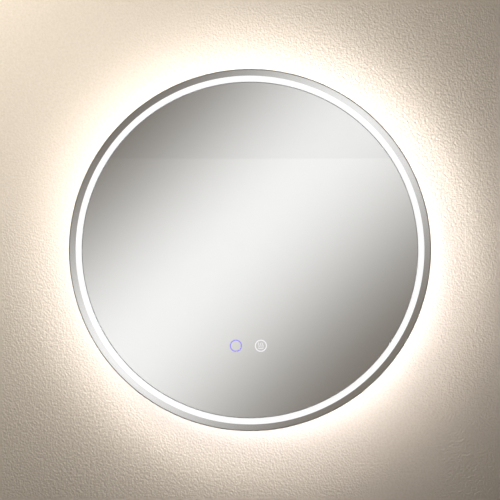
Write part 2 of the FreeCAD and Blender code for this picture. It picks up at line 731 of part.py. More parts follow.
def lamp_ring(label, chip, radius):
    """Chips at the lamp pitch all round the tape, clear of its two bare ends."""
    length = 2 * math.pi * radius - value("lamp_tape_gap + 2 * solder_length + lamp_length")
    gaps = int(length / value("lamp_pitch"))
    span = math.degrees(length / radius)
    chips = []
    for i in range(gaps + 1):
        copy = chip.copy()
        copy.rotate(Vector(0, 0, 0), Vector(0, 0, 1), 90 - span / 2 + span * i / gaps)
        chips.append(copy)
    shown(label, Part.makeCompound(chips))


def front_lamps():
    width, length, height = value("lamp_width"), value("lamp_length"), value("lamp_height")
    radius, base = value("front_lamp_radius"), value("tape_front")
    chip = Part.makeBox(width, length, height, Vector(radius - width / 2, -length / 2, base))
    lamp_ring("front_lamps", chip, radius)


def side_lamps():
    width, length, height = value("lamp_width"), value("lamp_length"), value("lamp_height")
    radius, middle = value("wall_outer + lamp_tape_thickness"), value("side_lamp_standoff")
    chip = Part.makeBox(height, length, width, Vector(radius, -length / 2, middle - width / 2))
    lamp_ring("side_lamps", chip, radius)


# ---------------------------------------------------------------- back panel and what hangs the mirror
CLEARANCE_HOLE = "screw_diameter + screw_hole_play"
THREADED_HOLE = "screw_diameter + thread_play"
HANGER_SPOTS = [(x, "0") for side in ("hanger_screw_inner", "hanger_screw_outer") for x in mirrored(side)]
EAR_SPOTS = four("(driver_length + ear_length) / 2", "ear_screw_spacing / 2")
BOSS_SPOTS = four("box_length / 2 - box_boss_inset", "box_height / 2 - box_boss_inset")


def back_panel():
    """Zinc-coated sheet inside the frame, with cooling slots and the service opening."""
    body = new_body("back_panel", out="panel_standoff")
    sketch = new_sketch(body)
    circle(sketch, "2 * panel_radius")
    pad(body, sketch, "panel_thickness")
    sketch = new_sketch(body, lift="panel_thickness")
    circle(sketch, CLEARANCE_HOLE, "panel_screw_radius", "0")
    polar(body, cut(body, sketch, "panel_thickness"), "panel_screw_count")
    sketch = new_sketch(body, lift="panel_thickness")
    rectangle(sketch, "service_length", "service_height", "box_x", "-box_drop")
    for x, y in BOSS_SPOTS:
        circle(sketch, CLEARANCE_HOLE, f"box_x + {x}", f"-box_drop + {y}")
    for x, y in EAR_SPOTS:
        circle(sketch, CLEARANCE_HOLE, f"-driver_x + {x}", f"-driver_drop + {y}")
    for x, y in HANGER_SPOTS:
        circle(sketch, CLEARANCE_HOLE, x, "hanger_screw_height")
    circle(sketch, CLEARANCE_HOLE, "earth_x", "-earth_drop")
    cut(body, sketch, "panel_thickness")
    sketch = new_sketch(body, lift="panel_thickness")
    for y in mirrored("vent_centre"):
        slot(sketch, "vent_length", "vent_width", "-(vent_count - 1) * vent_pitch / 2", y, upright=True)
    along_row(body, cut(body, sketch, "panel_thickness"), "vent_count", "vent_pitch")


def panel_screws():
    shape = group(pan_screw("screw", "panel_screw_length"), [("panel_screw_radius", "0")])
    count = int(value("panel_screw_count"))
    copies = []
    for i in range(count):
        copy = shape.copy()
        copy.rotate(Vector(0, 0, 0), Vector(0, 0, 1), 360 * i / count)
        copies += copy.Solids
    shown("panel_screws", Part.makeCompound(copies), out="panel_standoff")


def bend_edges(spots):
    """Picks the long edges at (up, out) pairs of formulas in the body's own view."""
    bends = [(value(up), value(out)) for up, out in spots]

    def wanted(edge):
        if not isinstance(edge.Curve, Part.Line) or abs(edge.Curve.Direction.x) < 0.999:
            return False
        middle = edge.CenterOfMass
        return any(math.hypot(middle.y - up, middle.z - out) < 1e-4 for up, out in bends)
    return wanted


def bar_section(body, corners, length):
    """A bent bar: its section, as (up, out) pairs, drawn out to both sides of the centre line."""
    sketch = new_sketch(body, "YZ_Plane")
    polygon(sketch, corners)
    made = pad(body, sketch, length)
    made.Midplane = True
    return made


def wall_bar():
    """The bar on the wall: slotted plate, step and upright lip.  Its zero is the screw line."""
    body = new_body("wall_bar", up="bar_height")
    bar_section(body, [
        ("-bar_foot", "0"),
        ("bar_step + bar_gauge", "0"),
        ("bar_step + bar_gauge", "lip_back"),
        ("lip_top", "lip_back"),
        ("lip_top", "lip_front"),
        ("bar_step", "lip_front"),
        ("bar_step", "bar_gauge"),
        ("-bar_foot", "bar_gauge"),
    ], "bar_length")
    spots = [("bar_step + bar_gauge", "0"), ("bar_step", "lip_front")]
    fillet(body, bend_edges(spots), "bend_round")
    sketch = new_sketch(body, lift="bar_gauge")
    for x in mirrored("wall_slot_inner") + mirrored("wall_slot_outer"):
        slot(sketch, "wall_slot_length", "wall_slot_width", x, "0")
    cut(body, sketch, "bar_gauge")


def hanger_bar():
    """The bar on the mirror: plate on the back panel, step that rests on the wall bar's lip, and hook."""
    body = new_body("hanger_bar", up="bar_height")
    plate_rear = "panel_standoff - bar_gauge"
    plate_top = "lip_top + bar_gauge + hanger_plate_height"
    bar_section(body, [
        ("bar_step + bar_gauge + hook_floor_gap", "hook_back"),
        ("lip_top + bar_gauge", "hook_back"),
        ("lip_top + bar_gauge", plate_rear),
        (plate_top, plate_rear),
        (plate_top, "panel_standoff"),
        ("lip_top", "panel_standoff"),
        ("lip_top", "hook_front"),
        ("bar_step + bar_gauge + hook_floor_gap", "hook_front"),
    ], "hanger_length")
    spots = [("lip_top + bar_gauge", "hook_back"), ("lip_top", "panel_standoff")]
    fillet(body, bend_edges(spots), "bend_round")
    sketch = new_sketch(body, lift="panel_standoff")
    for x, y in HANGER_SPOTS:
        circle(sketch, CLEARANCE_HOLE, x, "lip_top + hanger_screw_rise")
    cut(body, sketch, "bar_gauge")


def hanger_screws():
    shape = group(pan_screw("screw", "hanger_screw_length"), HANGER_SPOTS)
    shown("hanger_screws", shape, up="hanger_screw_height", out="panel_standoff - bar_gauge")


def hanger_nuts():
    shown("hanger_nuts", group(hexagon_nut(), HANGER_SPOTS), up="hanger_screw_height", out="panel_front")


def wall_bumpers():
    """Rubber bumpers that keep the mirror parallel to the wall."""
    tip, base = value("bumper_tip_diameter"), value("bumper_diameter")
    bumper = Part.makeCone(tip / 2, base / 2, value("panel_standoff"))
    rim = [e for e in bumper.Edges if e.BoundBox.ZMax < 1e-6 and e.Length > tip]
    bumper = bumper.makeFillet(value("bumper_round"), rim)
    spots = []
    for angle in ("-bumper_low_angle", "bumper_high_angle"):
        for x in mirrored(f"bumper_circle * cos({angle})"):
            spots.append((x, f"bumper_circle * sin({angle})"))
    shown("wall_bumpers", group(bumper, spots))


# ---------------------------------------------------------------- supply: cover, grommet and terminal box
def service_cover():
    body = new_body("service_cover", "box_x", "-box_drop", "cover_rear")
    sketch = new_sketch(body)
    rectangle(sketch, "cover_length", "cover_height")
    pad(body, sketch, "cover_thickness")
    fillet(body, upright, "cover_round")
    sketch = new_sketch(body, lift="cover_thickness")
    circle(sketch, "grommet_neck", "grommet_x", "0")
    for x, y in BOSS_SPOTS:
        circle(sketch, CLEARANCE_HOLE, x, y)
    cut(body, sketch, "cover_thickness")


def service_gasket():
    body = new_body("service_gasket", "box_x", "-box_drop", "cover_front")
    sketch = new_sketch(body)
    rectangle(sketch, "cover_length", "cover_height")
    pad(body, sketch, "gasket_thickness")
    fillet(body, upright, "cover_round")
    sketch = new_sketch(body, lift="gasket_thickness")
    rectangle(sketch, "service_length + gasket_inset", "service_height + gasket_inset")
    for x, y in BOSS_SPOTS:
        circle(sketch, CLEARANCE_HOLE, x, y)
    cut(body, sketch, "gasket_thickness")


def service_screws():
    shape = group(pan_screw("screw", "cover_screw_length"), BOSS_SPOTS)
    shown("service_screws", shape, "box_x", "-box_drop", "cover_rear")


def cable_grommet():
    """Rubber grommet in the service cover, where the supply cable comes in from the wall."""
    rear = "cover_rear - grommet_flange_thickness"
    body = new_body("cable_grommet", "box_x + grommet_x", "-box_drop", rear)
    neck_low = "grommet_flange_thickness"
    neck_high = "grommet_flange_thickness + cover_thickness"
    top = "2 * grommet_flange_thickness + cover_thickness"
    turned(body, [
        ("grommet_bore / 2", "0"),
        ("grommet_flange / 2", "0"),
        ("grommet_flange / 2", neck_low),
        ("grommet_neck / 2", neck_low),
        ("grommet_neck / 2", neck_high),
        ("grommet_flange / 2", neck_high),
        ("grommet_flange / 2", top),
        ("grommet_bore / 2", top),
    ])


def terminal_box():
    """Moulded box inside the panel, open to the service opening; its floor is towards the glass."""
    body = new_body("terminal_box", "box_x", "-box_drop", "panel_front")
    sketch = new_sketch(body)
    rectangle(sketch, "box_length", "box_height")
    pad(body, sketch, "box_depth")
    sketch = new_sketch(body)
    rectangle(sketch, "box_length - 2 * box_wall", "box_height - 2 * box_wall")
    cut(body, sketch, "box_depth - box_wall", forward=True)
    sketch = new_sketch(body)
    for x, y in BOSS_SPOTS:
        circle(sketch, "box_boss_diameter", x, y)
    pad(body, sketch, "box_depth - box_wall / 2")
    sketch = new_sketch(body)
    for x, y in BOSS_SPOTS:
        circle(sketch, THREADED_HOLE, x, y)
    cut(body, sketch, "box_screw_depth", forward=True)
    boss_rear = "box_depth - box_wall - clamp_rise"
    sketch = new_sketch(body, lift=boss_rear)
    for y in mirrored("clamp_screw_spacing / 2"):
        circle(sketch, "small_screw_head_diameter + box_wall", "clamp_x", y)
    pad(body, sketch, "clamp_rise + box_wall / 2")
    sketch = new_sketch(body, lift=boss_rear)
    for y in mirrored("clamp_screw_spacing / 2"):
        circle(sketch, "small_screw_diameter + thread_play", "clamp_x", y)
    cut(body, sketch, "clamp_rise", forward=True)
    sketch = new_sketch(body, "YZ_Plane", lift="-box_length / 2")
    circle(sketch, "mains_lead_diameter + lead_play", "0", "lead_rise")
    cut(body, sketch, "box_wall", forward=True)
    sketch = new_sketch(body, "XZ_Plane", lift="box_height / 2")
    circle(sketch, "supply_lead_diameter + lead_play", "-block_x", "lead_rise")
    cut(body, sketch, "box_wall")
    sketch = new_sketch(body, "XZ_Plane", lift="-box_height / 2")
    circle(sketch, "strip_lead_diameter + lead_play", "-block_x", "lead_rise")
    cut(body, sketch, "box_wall", forward=True)


POLES = ["-pole_pitch", "0", "pole_pitch"]
TERMINALS = [(x, y) for x in mirrored("block_width / 4") for y in POLES]


def terminal_block():
    """Three-pole block on the box floor, with its wire holes to left and right and its screws to the rear."""
    body = new_body("terminal_block", "block_centre_x", "-box_drop", "box_floor - block_height")
    sketch = new_sketch(body)
    rectangle(sketch, "block_width", "block_length")
    pad(body, sketch, "block_height")
    sketch = new_sketch(body, "YZ_Plane", lift="block_width / 2")
    for pole in POLES:
        circle(sketch, "pole_bore", pole, "pole_rise")
    cut(body, sketch, "block_width")
    for diameter, depth in (("small_screw_head_diameter + screw_hole_play", "well_depth"),
                            ("small_screw_diameter + thread_play", "pole_rise")):
        sketch = new_sketch(body)
        for x, y in TERMINALS:
            circle(sketch, diameter, x, y)
        cut(body, sketch, depth, forward=True)


def terminal_screws():
    """One clamping screw for each side of each pole, seated at the bottom of its well."""
    shape = group(pan_screw("small_screw", "pole_rise - pole_bore / 2 - well_depth"), TERMINALS)
    rear = "box_floor - block_height + well_depth"
    shown("terminal_screws", shape, "block_centre_x", "-box_drop", rear)


def cord_clamp():
    """Bar that grips the supply cable against the box floor."""
    body = new_body("cord_clamp", "box_x + clamp_x", "-box_drop", "box_floor - clamp_rise - clamp_thickness")
    sketch = new_sketch(body)
    rectangle(sketch, "clamp_width", "clamp_length")
    pad(body, sketch, "clamp_thickness")
    fillet(body, upright, "clamp_round")
    sketch = new_sketch(body, lift="clamp_thickness")
    for y in mirrored("clamp_screw_spacing / 2"):
        circle(sketch, "small_screw_diameter + screw_hole_play", "0", y)
    cut(body, sketch, "clamp_thickness")
    sketch = new_sketch(body, "YZ_Plane", lift="-clamp_width / 2")
    circle(sketch, "clamp_saddle", "0", "clamp_thickness + clamp_saddle / 2 - saddle_depth")
    cut(body, sketch, "clamp_width", forward=True)


def cord_clamp_screws():
    screw = pan_screw("small_screw", "clamp_thickness + clamp_rise - box_wall / 2")
    shape = group(screw, [("0", y) for y in mirrored("clamp_screw_spacing / 2")])
    out = "box_floor - clamp_rise - clamp_thickness"
    shown("cord_clamp_screws", shape, "box_x + clamp_x", "-box_drop", out)


# ---------------------------------------------------------------- lamp driver
def driver_case():
    body = new_body("driver_case", "-driver_x", "-driver_drop", "panel_front")
    sketch = new_sketch(body)
    rectangle(sketch, "driver_length", "driver_width")
    pad(body, sketch, "driver_height")
    fillet(body, upright, "driver_wall")
    sketch = new_sketch(body, lift="driver_height")
    rectangle(sketch, "driver_length - 2 * driver_wall", "driver_width - 2 * driver_wall")
    cut(body, sketch, "driver_height - driver_wall")
    for x in mirrored("(driver_length + ear_length - driver_wall) / 2"):
        sketch = new_sketch(body)
        rectangle(sketch, "ear_length + driver_wall", "driver_width - 2 * driver_wall", x)
        pad(body, sketch, "ear_thickness")
    sketch = new_sketch(body, lift="ear_thickness")
    for x, y in EAR_SPOTS:
        circle(sketch, THREADED_HOLE, x, y)
    cut(body, sketch, "ear_thickness")
    sketch = new_sketch(body, lift="driver_wall / 2")
    for x, y in four("driver_length / 2 - driver_wall - 2 * board_margin",
                     "driver_width / 2 - driver_wall - 2 * board_margin"):
        circle(sketch, "2 * board_margin", x, y)
    pad(body, sketch, "board_rise + driver_wall / 2")
    sketch = new_sketch(body, "YZ_Plane", lift="driver_length / 2")
    circle(sketch, "mains_lead_diameter + lead_play", "0", "lead_rise")
    cut(body, sketch, "driver_wall")
    sketch = new_sketch(body, "YZ_Plane", lift="-driver_length / 2")
    circle(sketch, "supply_lead_diameter + lead_play", "0", "lead_rise")
    cut(body, sketch, "driver_wall", forward=True)


def driver_lid():
    body = new_body("driver_lid", "-driver_x", "-driver_drop", "panel_front + driver_height")
    sketch = new_sketch(body)
    rectangle(sketch, "driver_length", "driver_width")
    pad(body, sketch, "driver_lid_thickness")
    fillet(body, upright, "driver_wall")
    sketch = new_sketch(body, lift="-driver_lip")
    for inside in ("2 * (driver_wall + driver_play)", "2 * (2 * driver_wall + driver_play)"):
        rectangle(sketch, f"driver_length - {inside}", f"driver_width - {inside}")
    pad(body, sketch, "driver_lip")


def driver_board():
    body = new_body("driver_board", "-driver_x", "-driver_drop", "board_rear")
    sketch = new_sketch(body)
    margin = "2 * (driver_wall + board_margin)"
    rectangle(sketch, f"driver_length - {margin}", f"driver_width - {margin}")
    pad(body, sketch, "board_thickness")


def driver_transformer():
    """Core with a notch in each side, where its winding shows."""
    body = new_body("driver_transformer", "-driver_x", "-driver_drop", "board_front")
    sketch = new_sketch(body)
    rectangle(sketch, "transformer_length", "transformer_width")
    pad(body, sketch, "transformer_height")
    sketch = new_sketch(body, lift="transformer_height")
    for y in mirrored("(transformer_width - cheek_notch_width) / 2"):
        rectangle(sketch, "cheek_notch_length", "cheek_notch_width", "0", y)
    cut(body, sketch, "transformer_height")


def driver_choke():
    body = new_body("driver_choke", "-driver_x + driver_length / 4", "-driver_drop", "board_front")
    ring_plate(body, "choke_diameter", "choke_bore", "choke_height")


def driver_capacitors():
    height = value("capacitor_height")
    can = cylinder(value("capacitor_diameter"), height)
    rim = [e for e in can.Edges if e.BoundBox.ZMin > 0.999 * height]
    can = can.makeFillet(value("capacitor_round"), rim)
    shape = group(can, [("0", "-capacitor_pitch"), ("0", "0"), ("0", "capacitor_pitch")])
    shown("driver_capacitors", shape, "-driver_x - driver_length / 4", "-driver_drop", "board_front")


def driver_screws():
    shape = group(pan_screw("screw", "ear_screw_length"), EAR_SPOTS)
    shown("driver_screws", shape, "-driver_x", "-driver_drop", "panel_standoff")


# ---------------------------------------------------------------- demister film and touch sensors
def demister_film():
    body = new_body("demister_film", "0", "film_rise", "film_rear")
    sketch = new_sketch(body)
    rectangle(sketch, "film_width", "film_height")
    pad(body, sketch, "film_thickness")
    fillet(body, upright, "film_round")


def demister_tab():
    """Cover over the film's solder joints, at its lower edge above the demister key."""
    up = "-film_foot + tab_height / 2"
    body = new_body("demister_tab", "demister_key_x", up, "film_rear - tab_thickness")
    sketch = new_sketch(body)
    rectangle(sketch, "tab_width", "tab_height")
    pad(body, sketch, "tab_thickness")
    fillet(body, upright, "tab_round")


def sensor_pad(label, key_x):
    body = new_body(label, key_x, "-icon_drop", "case_front")
    ring_plate(body, "sensor_diameter", "pad_bore", "pad_thickness")


def sensor_case(label, key_x, exits):
    """Round cup against the glass with a ledge for its board; exits are the sides where leads leave."""
    body = new_body(label, key_x, "-icon_drop", "case_rear")
    inner = "sensor_diameter / 2 - sensor_wall"
    turned(body, [
        ("0", "0"),
        ("sensor_diameter / 2", "0"),
        ("sensor_diameter / 2", "sensor_depth"),
        (inner, "sensor_depth"),
        (inner, "sensor_board_rise"),
        (f"{inner} - sensor_ledge", "sensor_board_rise"),
        (f"{inner} - sensor_ledge", "sensor_wall"),
        ("0", "sensor_wall"),
    ])
    for plane, forward, x, diameter in exits:
        sketch = new_sketch(body, plane)
        circle(sketch, f"{diameter} + lead_play", x, "sensor_lead_standoff - case_rear")
        cut(body, sketch, "sensor_diameter / 2", forward=forward)


def sensor_board(label, key_x):
    body = new_body(label, key_x, "-icon_drop", "sensor_board_rear")
    sketch = new_sketch(body)
    circle(sketch, "sensor_diameter - 2 * (sensor_wall + sensor_play)")
    pad(body, sketch, "sensor_board_thickness")


def sensor_light_ring(label, key_x):
    """Clear ring that carries the key's light to the frosted ring on the glass."""
    body = new_body(label, key_x, "-icon_drop", "sensor_board_front")
    height = "silver_back - sensor_play - sensor_board_front"
    ring_plate(body, "icon_diameter", "icon_diameter - 2 * icon_stroke", height)


def sensor_electrode(label, key_x):
    """Conductive foam that feels a finger through the glass."""
    body = new_body(label, key_x, "-icon_drop", "sensor_board_front")
    sketch = new_sketch(body)
    circle(sketch, "electrode_diameter")
    pad(body, sketch, "silver_back - sensor_board_front")


def touch_sensors():
    """The light key's sensor on the left and the demister key's on the right."""
    down, up = ("XZ_Plane", True), ("XZ_Plane", False)
    right, left = ("YZ_Plane", True), ("YZ_Plane", False)
    strip, supply = "strip_lead_diameter", "supply_lead_diameter"
    exits = {
        "light_sensor": [(*left, "0", supply), (*down, "-2 * strip_lead_diameter", strip),
                         (*down, "2 * strip_lead_diameter", strip)],
        "demister_sensor": [(*right, "0", supply), (*up, "0", strip)],
    }
    for name, key_x in (("light_sensor", "light_key_x"), ("demister_sensor", "demister_key_x")):
        sensor_pad(name + "_pad", key_x)
        sensor_case(name + "_case", key_x, exits[name])
        sensor_board(name + "_board", key_x)
        sensor_light_ring(name + "_light_ring", key_x)
        sensor_electrode(name + "_electrode", key_x)


# ---------------------------------------------------------------- leads, clips and earth
def route(*points):
    """A lead's corners as numbers, from (x, y, out) formulas."""
    return [tuple(value(part) for part in point) for point in points]


def mains_route():
    """Terminal block to driver, in a gentle S."""
    block, driver = "block_centre_x - block_width / 2", "-driver_x + driver_length / 2"
    return route(
        (block, "-box_drop", "lead_standoff"),
        ("box_x - box_length / 2 - lead_straight", "-box_drop", "lead_standoff"),
        (f"{driver} + lead_straight", "-driver_drop", "lead_standoff"),
        (f"{driver} - driver_wall", "-driver_drop", "lead_standoff"))


def output_route():
    """Driver to light key: down beside the driver, along the panel and up to the sensor."""
    driver, key = "-driver_x - driver_length / 2", "light_key_x - sensor_diameter / 2"
    turn = f"{driver} - 2 * ear_length"
    return route(
        (f"{driver} + driver_wall", "-driver_drop", "lead_standoff"),
        (turn, "-driver_drop", "lead_standoff"),
        (turn, "-icon_drop + 1.5 * lead_straight", "lead_standoff"),
        (f"{turn} + 2 * lead_straight", "-icon_drop - lead_straight / 2", "lead_standoff"),
        (f"{key} - 2.5 * lead_straight", "-icon_drop - lead_straight / 2", "lead_standoff"),
        (f"{key} - lead_straight", "-icon_drop", "sensor_lead_standoff"),
        (f"{key} + lead_entry", "-icon_drop", "sensor_lead_standoff"))


def supply_route():
    """Terminal block to demister key: down out of the box and across to the sensor."""
    key = "demister_key_x + sensor_diameter / 2"
    return route(
        ("block_centre_x", "-box_drop - block_length / 2", "lead_standoff"),
        ("block_centre_x", "-icon_drop + 2.5 * lead_straight", "lead_standoff"),
        ("block_centre_x - lead_straight / 2", "-icon_drop + lead_straight / 2", "lead_standoff + lead_rise"),
        (f"{key} + lead_straight", "-icon_drop", "sensor_lead_standoff"),
        (f"{key} - lead_entry", "-icon_drop", "sensor_lead_standoff"))


def strip_route(side, standoff, end):
    """Light key to a lamp tape, straight through the sleeve in the frame wall; side is - or +."""
    start, hole = f"light_key_x {side} 2 * strip_lead_diameter", f"{side}lead_hole_offset"
    rim = "-icon_drop - sensor_diameter / 2"
    return route(
        (start, f"{rim} + lead_entry", "sensor_lead_standoff"),
        (start, f"{rim} - lead_straight", "sensor_lead_standoff"),
        (hole, "-wall_inner + 2 * lead_straight", standoff),
        (hole, end, standoff))


def demister_route():
    """Film to demister key."""
    start, end = "-film_foot", "-icon_drop + sensor_diameter / 2"
    out = "film_rear - tab_thickness / 2"
    return route(
        ("demister_key_x", start, out),
        ("demister_key_x", f"{start} - lead_straight", out),
        ("demister_key_x", f"{end} + lead_straight", "sensor_lead_standoff"),
        ("demister_key_x", f"{end} - lead_entry", "sensor_lead_standoff"))


def earth_route():
    """Terminal block to the barrel of the earth lug."""
    barrel = "earth_x - lug_ring_diameter / 2 - lug_barrel_length"
    top = "-box_drop + box_height / 2 + lead_straight"
    return route(
        ("block_centre_x", "-box_drop + block_length / 2", "lead_standoff"),
        ("block_centre_x", top, "lead_standoff"),
        ("block_centre_x + 2 * lead_straight", f"{top} + lead_straight", "lead_standoff"),
        (f"{barrel} - 2 * lead_straight", "-earth_drop + lead_straight / 2", "lead_standoff"),
        (f"{barrel} - lead_straight", "-earth_drop", "panel_front + lug_centre"),
        (barrel, "-earth_drop", "panel_front + lug_centre"))


def leads():
    """Every lead inside the case, with the diameter that its job needs."""
    strip_end = "-sqrt(wall_outer * wall_outer - lead_hole_offset * lead_hole_offset) + lead_play / 2"
    front_strip = strip_route("-", "front_hole_standoff", "-front_lamp_radius")
    side_strip = strip_route("+", "side_hole_standoff", strip_end)
    routes = [
        ("mains_lead", mains_route(), "mains_lead_diameter"),
        ("driver_output_lead", output_route(), "supply_lead_diameter"),
        ("demister_supply_lead", supply_route(), "supply_lead_diameter"),
        ("front_strip_lead", front_strip, "strip_lead_diameter"),
        ("side_strip_lead", side_strip, "strip_lead_diameter"),
        ("demister_lead", demister_route(), "strip_lead_diameter"),
        ("earth_lead", earth_route(), "strip_lead_diameter"),
    ]
    for label, points, diameter in routes:
        shown(label, lead(points, value(diameter)))


def lead_sleeves():
    """Rubber sleeves that line the two lead holes in the frame wall, each with a flange inside the wall."""
    outer, flange = value("sleeve_diameter"), value("sleeve_flange_diameter")
    thickness = value("sleeve_flange")
    offset, wall = value("lead_hole_offset"), value("frame_wall")
    reach = offset + flange / 2
    inside = -math.sqrt(value("wall_inner") ** 2 - reach ** 2)
    down = Vector(0, -1, 0)
    sleeves = []
    for x, out in ((-offset, value("front_hole_standoff")), (offset, value("side_hole_standoff"))):
        sleeve = Part.makeCylinder(outer / 2, wall, Vector(x, inside, out), down)
        collar = Part.makeCylinder(flange / 2, thickness, Vector(x, inside + thickness, out), down)
        sleeve = sleeve.fuse(collar)
        bore = Part.makeCylinder(value("sleeve_bore") / 2, 3 * wall, Vector(x, inside + wall, out), down)
        sleeves.append(sleeve.cut(bore).removeSplitter())
    shown("lead_sleeves", Part.makeCompound(sleeves))


def lead_clips():
    """Clips stuck to the panel, one on each long run of the two supply leads."""
    length, width = value("clip_length"), value("clip_width")
    bore, rise = value("supply_lead_diameter + lead_play"), value("lead_rise")
    height = rise + bore / 2 + value("clip_top")
    block = Part.makeBox(length, width, height, Vector(-length / 2, -width / 2, 0))
    sideways = block.cut(Part.makeCylinder(bore / 2, 2 * length, Vector(-length, 0, rise), Vector(1, 0, 0)))
    upward = sideways.copy()
    upward.rotate(Vector(0, 0, 0), Vector(0, 0, 1), 90)
    output, supply = output_route(), supply_route()
    box_foot = value("-box_drop - box_height / 2")
    clips = []
    for clip, (x1, y1), (x2, y2) in ((upward, output[1][:2], output[2][:2]),
                                     (sideways, output[3][:2], output[4][:2]),
                                     (upward, (supply[0][0], box_foot), supply[1][:2])):
        copy = clip.copy()
        copy.translate(Vector((x1 + x2) / 2, (y1 + y2) / 2, 0))
        clips.append(copy)
    shown("lead_clips", Part.makeCompound(clips), out="panel_front")


def earth_screw():
    shape = pan_screw("screw", "earth_screw_length")
    shown("earth_screw", shape, "earth_x", "-earth_drop", "panel_standoff")


def earth_lug():
    """Ring lug on the inside of the panel, with its barrel pointing left."""
    ring, metal = value("lug_ring_diameter"), value("lug_thickness")
    core, length, centre = value("strip_lead_diameter"), value("lug_barrel_length"), value("lug_centre")
    plate = cylinder(ring, metal).cut(cylinder(value(CLEARANCE_HOLE), metal))
    left, root = Vector(-1, 0, 0), Vector(-ring / 2, 0, centre)
    barrel = Part.makeCylinder(core / 2 + metal, length, root, left)
    tongue = Part.makeBox(2 * metal, core, centre, Vector(-ring / 2 - metal, -core / 2, 0))
    bore = Part.makeCylinder(core / 2, length - metal, root + left * metal * 2, left)
    shape = plate.fuse([barrel, tongue]).cut(bore).removeSplitter()
    shown("earth_lug", shape, "earth_x", "-earth_drop", "panel_front")


def earth_nut():
    shown("earth_nut", hexagon_nut(), "earth_x", "-earth_drop", "panel_front + lug_thickness")


# ---------------------------------------------------------------- build, prove and write every piece
PIECES = [
    mirror_glass, silver_layer, bonding_tape, light_frame, opal_diffuser,
    front_lamp_tape, side_lamp_tape, front_lamps, side_lamps,
    back_panel, panel_screws, wall_bar, hanger_bar, hanger_screws, hanger_nuts, wall_bumpers,
    service_cover, service_gasket, service_screws, cable_grommet,
    terminal_box, terminal_block, terminal_screws, cord_clamp, cord_clamp_screws,
    driver_case, driver_lid, driver_board, driver_transformer, driver_choke, driver_capacitors, driver_screws,
    demister_film, demister_tab, touch_sensors,
    leads, lead_sleeves, lead_clips, earth_screw, earth_lug, earth_nut,
]
for piece in PIECES:
    piece()
doc.recompute()

for thing in doc.Objects:
    if {"Invalid", "Error"} & set(thing.State):
        raise RuntimeError(f"{thing.Label} failed: {thing.State}")

os.makedirs("parts", exist_ok=True)
for thing in doc.Objects:
    if thing.TypeId not in ("PartDesign::Body", "Part::Feature"):
        continue
    shape = thing.Shape
    if shape.isNull() or not shape.isValid() or not shape.Solids:
        raise RuntimeError(f"{thing.Label} has no valid solid")
    shape.exportStep(f"parts/{thing.Label}.step")
    print(f"{thing.Label}: {len(shape.Solids)} solid(s), {shape.Volume:.0f} mm3")
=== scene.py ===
# %% [markdown]
# # A round lit mirror, hung on a wall
#
# The object is a 600 mm disc of silvered float glass. A frosted band near its rim lets light through, two
# small frosted signs mark its touch keys, and an opal ring behind the glass throws a halo on the wall. The
# glow of the band and the signs is painted on their frosting as emission. A sheet steel back closes the
# case, which hangs on a bent steel bar.
#
# The pieces and their places come from the imported model, the frame. This script gives each one its finish,
# and makes again the pieces whose looks need more than the model holds: the pane, the key signs, the opal
# ring, the screws and the pressed vents.

# %% Load the frame
import json
import math

import bmesh
import bpy
from mathutils import Matrix, Vector

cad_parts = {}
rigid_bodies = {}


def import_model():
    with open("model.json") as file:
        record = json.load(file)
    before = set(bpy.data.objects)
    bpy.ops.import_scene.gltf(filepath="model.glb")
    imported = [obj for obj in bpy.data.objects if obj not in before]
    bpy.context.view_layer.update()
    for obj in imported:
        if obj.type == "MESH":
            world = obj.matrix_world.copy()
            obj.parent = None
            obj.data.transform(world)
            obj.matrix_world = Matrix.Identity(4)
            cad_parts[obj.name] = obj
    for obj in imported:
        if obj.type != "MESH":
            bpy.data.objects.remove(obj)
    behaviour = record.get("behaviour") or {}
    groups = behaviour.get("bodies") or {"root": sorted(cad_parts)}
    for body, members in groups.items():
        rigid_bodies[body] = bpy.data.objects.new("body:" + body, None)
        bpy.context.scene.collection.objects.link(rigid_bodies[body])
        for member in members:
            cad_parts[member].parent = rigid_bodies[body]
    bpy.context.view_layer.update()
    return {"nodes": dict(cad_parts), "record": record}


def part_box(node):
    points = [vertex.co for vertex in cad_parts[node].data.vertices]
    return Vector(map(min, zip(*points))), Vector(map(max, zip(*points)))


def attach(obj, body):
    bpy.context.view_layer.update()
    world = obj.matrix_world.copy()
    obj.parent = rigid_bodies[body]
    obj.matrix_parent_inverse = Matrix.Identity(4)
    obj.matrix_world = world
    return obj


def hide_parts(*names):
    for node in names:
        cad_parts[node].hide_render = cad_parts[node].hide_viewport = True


for leftover in list(bpy.data.objects):
    bpy.data.objects.remove(leftover)
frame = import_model()
scene = bpy.context.scene

# %% [markdown]
# ## Places that everything hangs on
#
# The pane's box gives the mirror's centre, its radius and the planes of its two faces. The frame's +Y goes
# into the wall, so the front of the glass has the lowest y. Distances from the wall are written as
# stand-offs, and `on_wall` turns a stand-off into a y.

# %% Read the pane's place from the frame
MM = 0.001
pane_low, pane_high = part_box("mirror_glass")
CENTRE_UP = (pane_low.z + pane_high.z) / 2
RADIUS = pane_high.x
FRONT = -pane_low.y
BACK = -pane_high.y


def on_wall(across, standoff, up):
    """A point in the frame from its place in the front view and its distance from the wall."""
    return Vector((across, -standoff, up))


print(f"radius {RADIUS / MM:.1f} mm, glass from {BACK / MM:.1f} to {FRONT / MM:.1f} mm off the wall")

# %% [markdown]
# ## Helpers for node trees
#
# Materials, the world and Geometry Nodes are all node trees, so one helper adds a node to any of them: it
# sets the node's options and then each input, by a link where it is given a socket and by value otherwise.
# An input that takes many links is given a list. Nodes that come up often get a short name of their own.

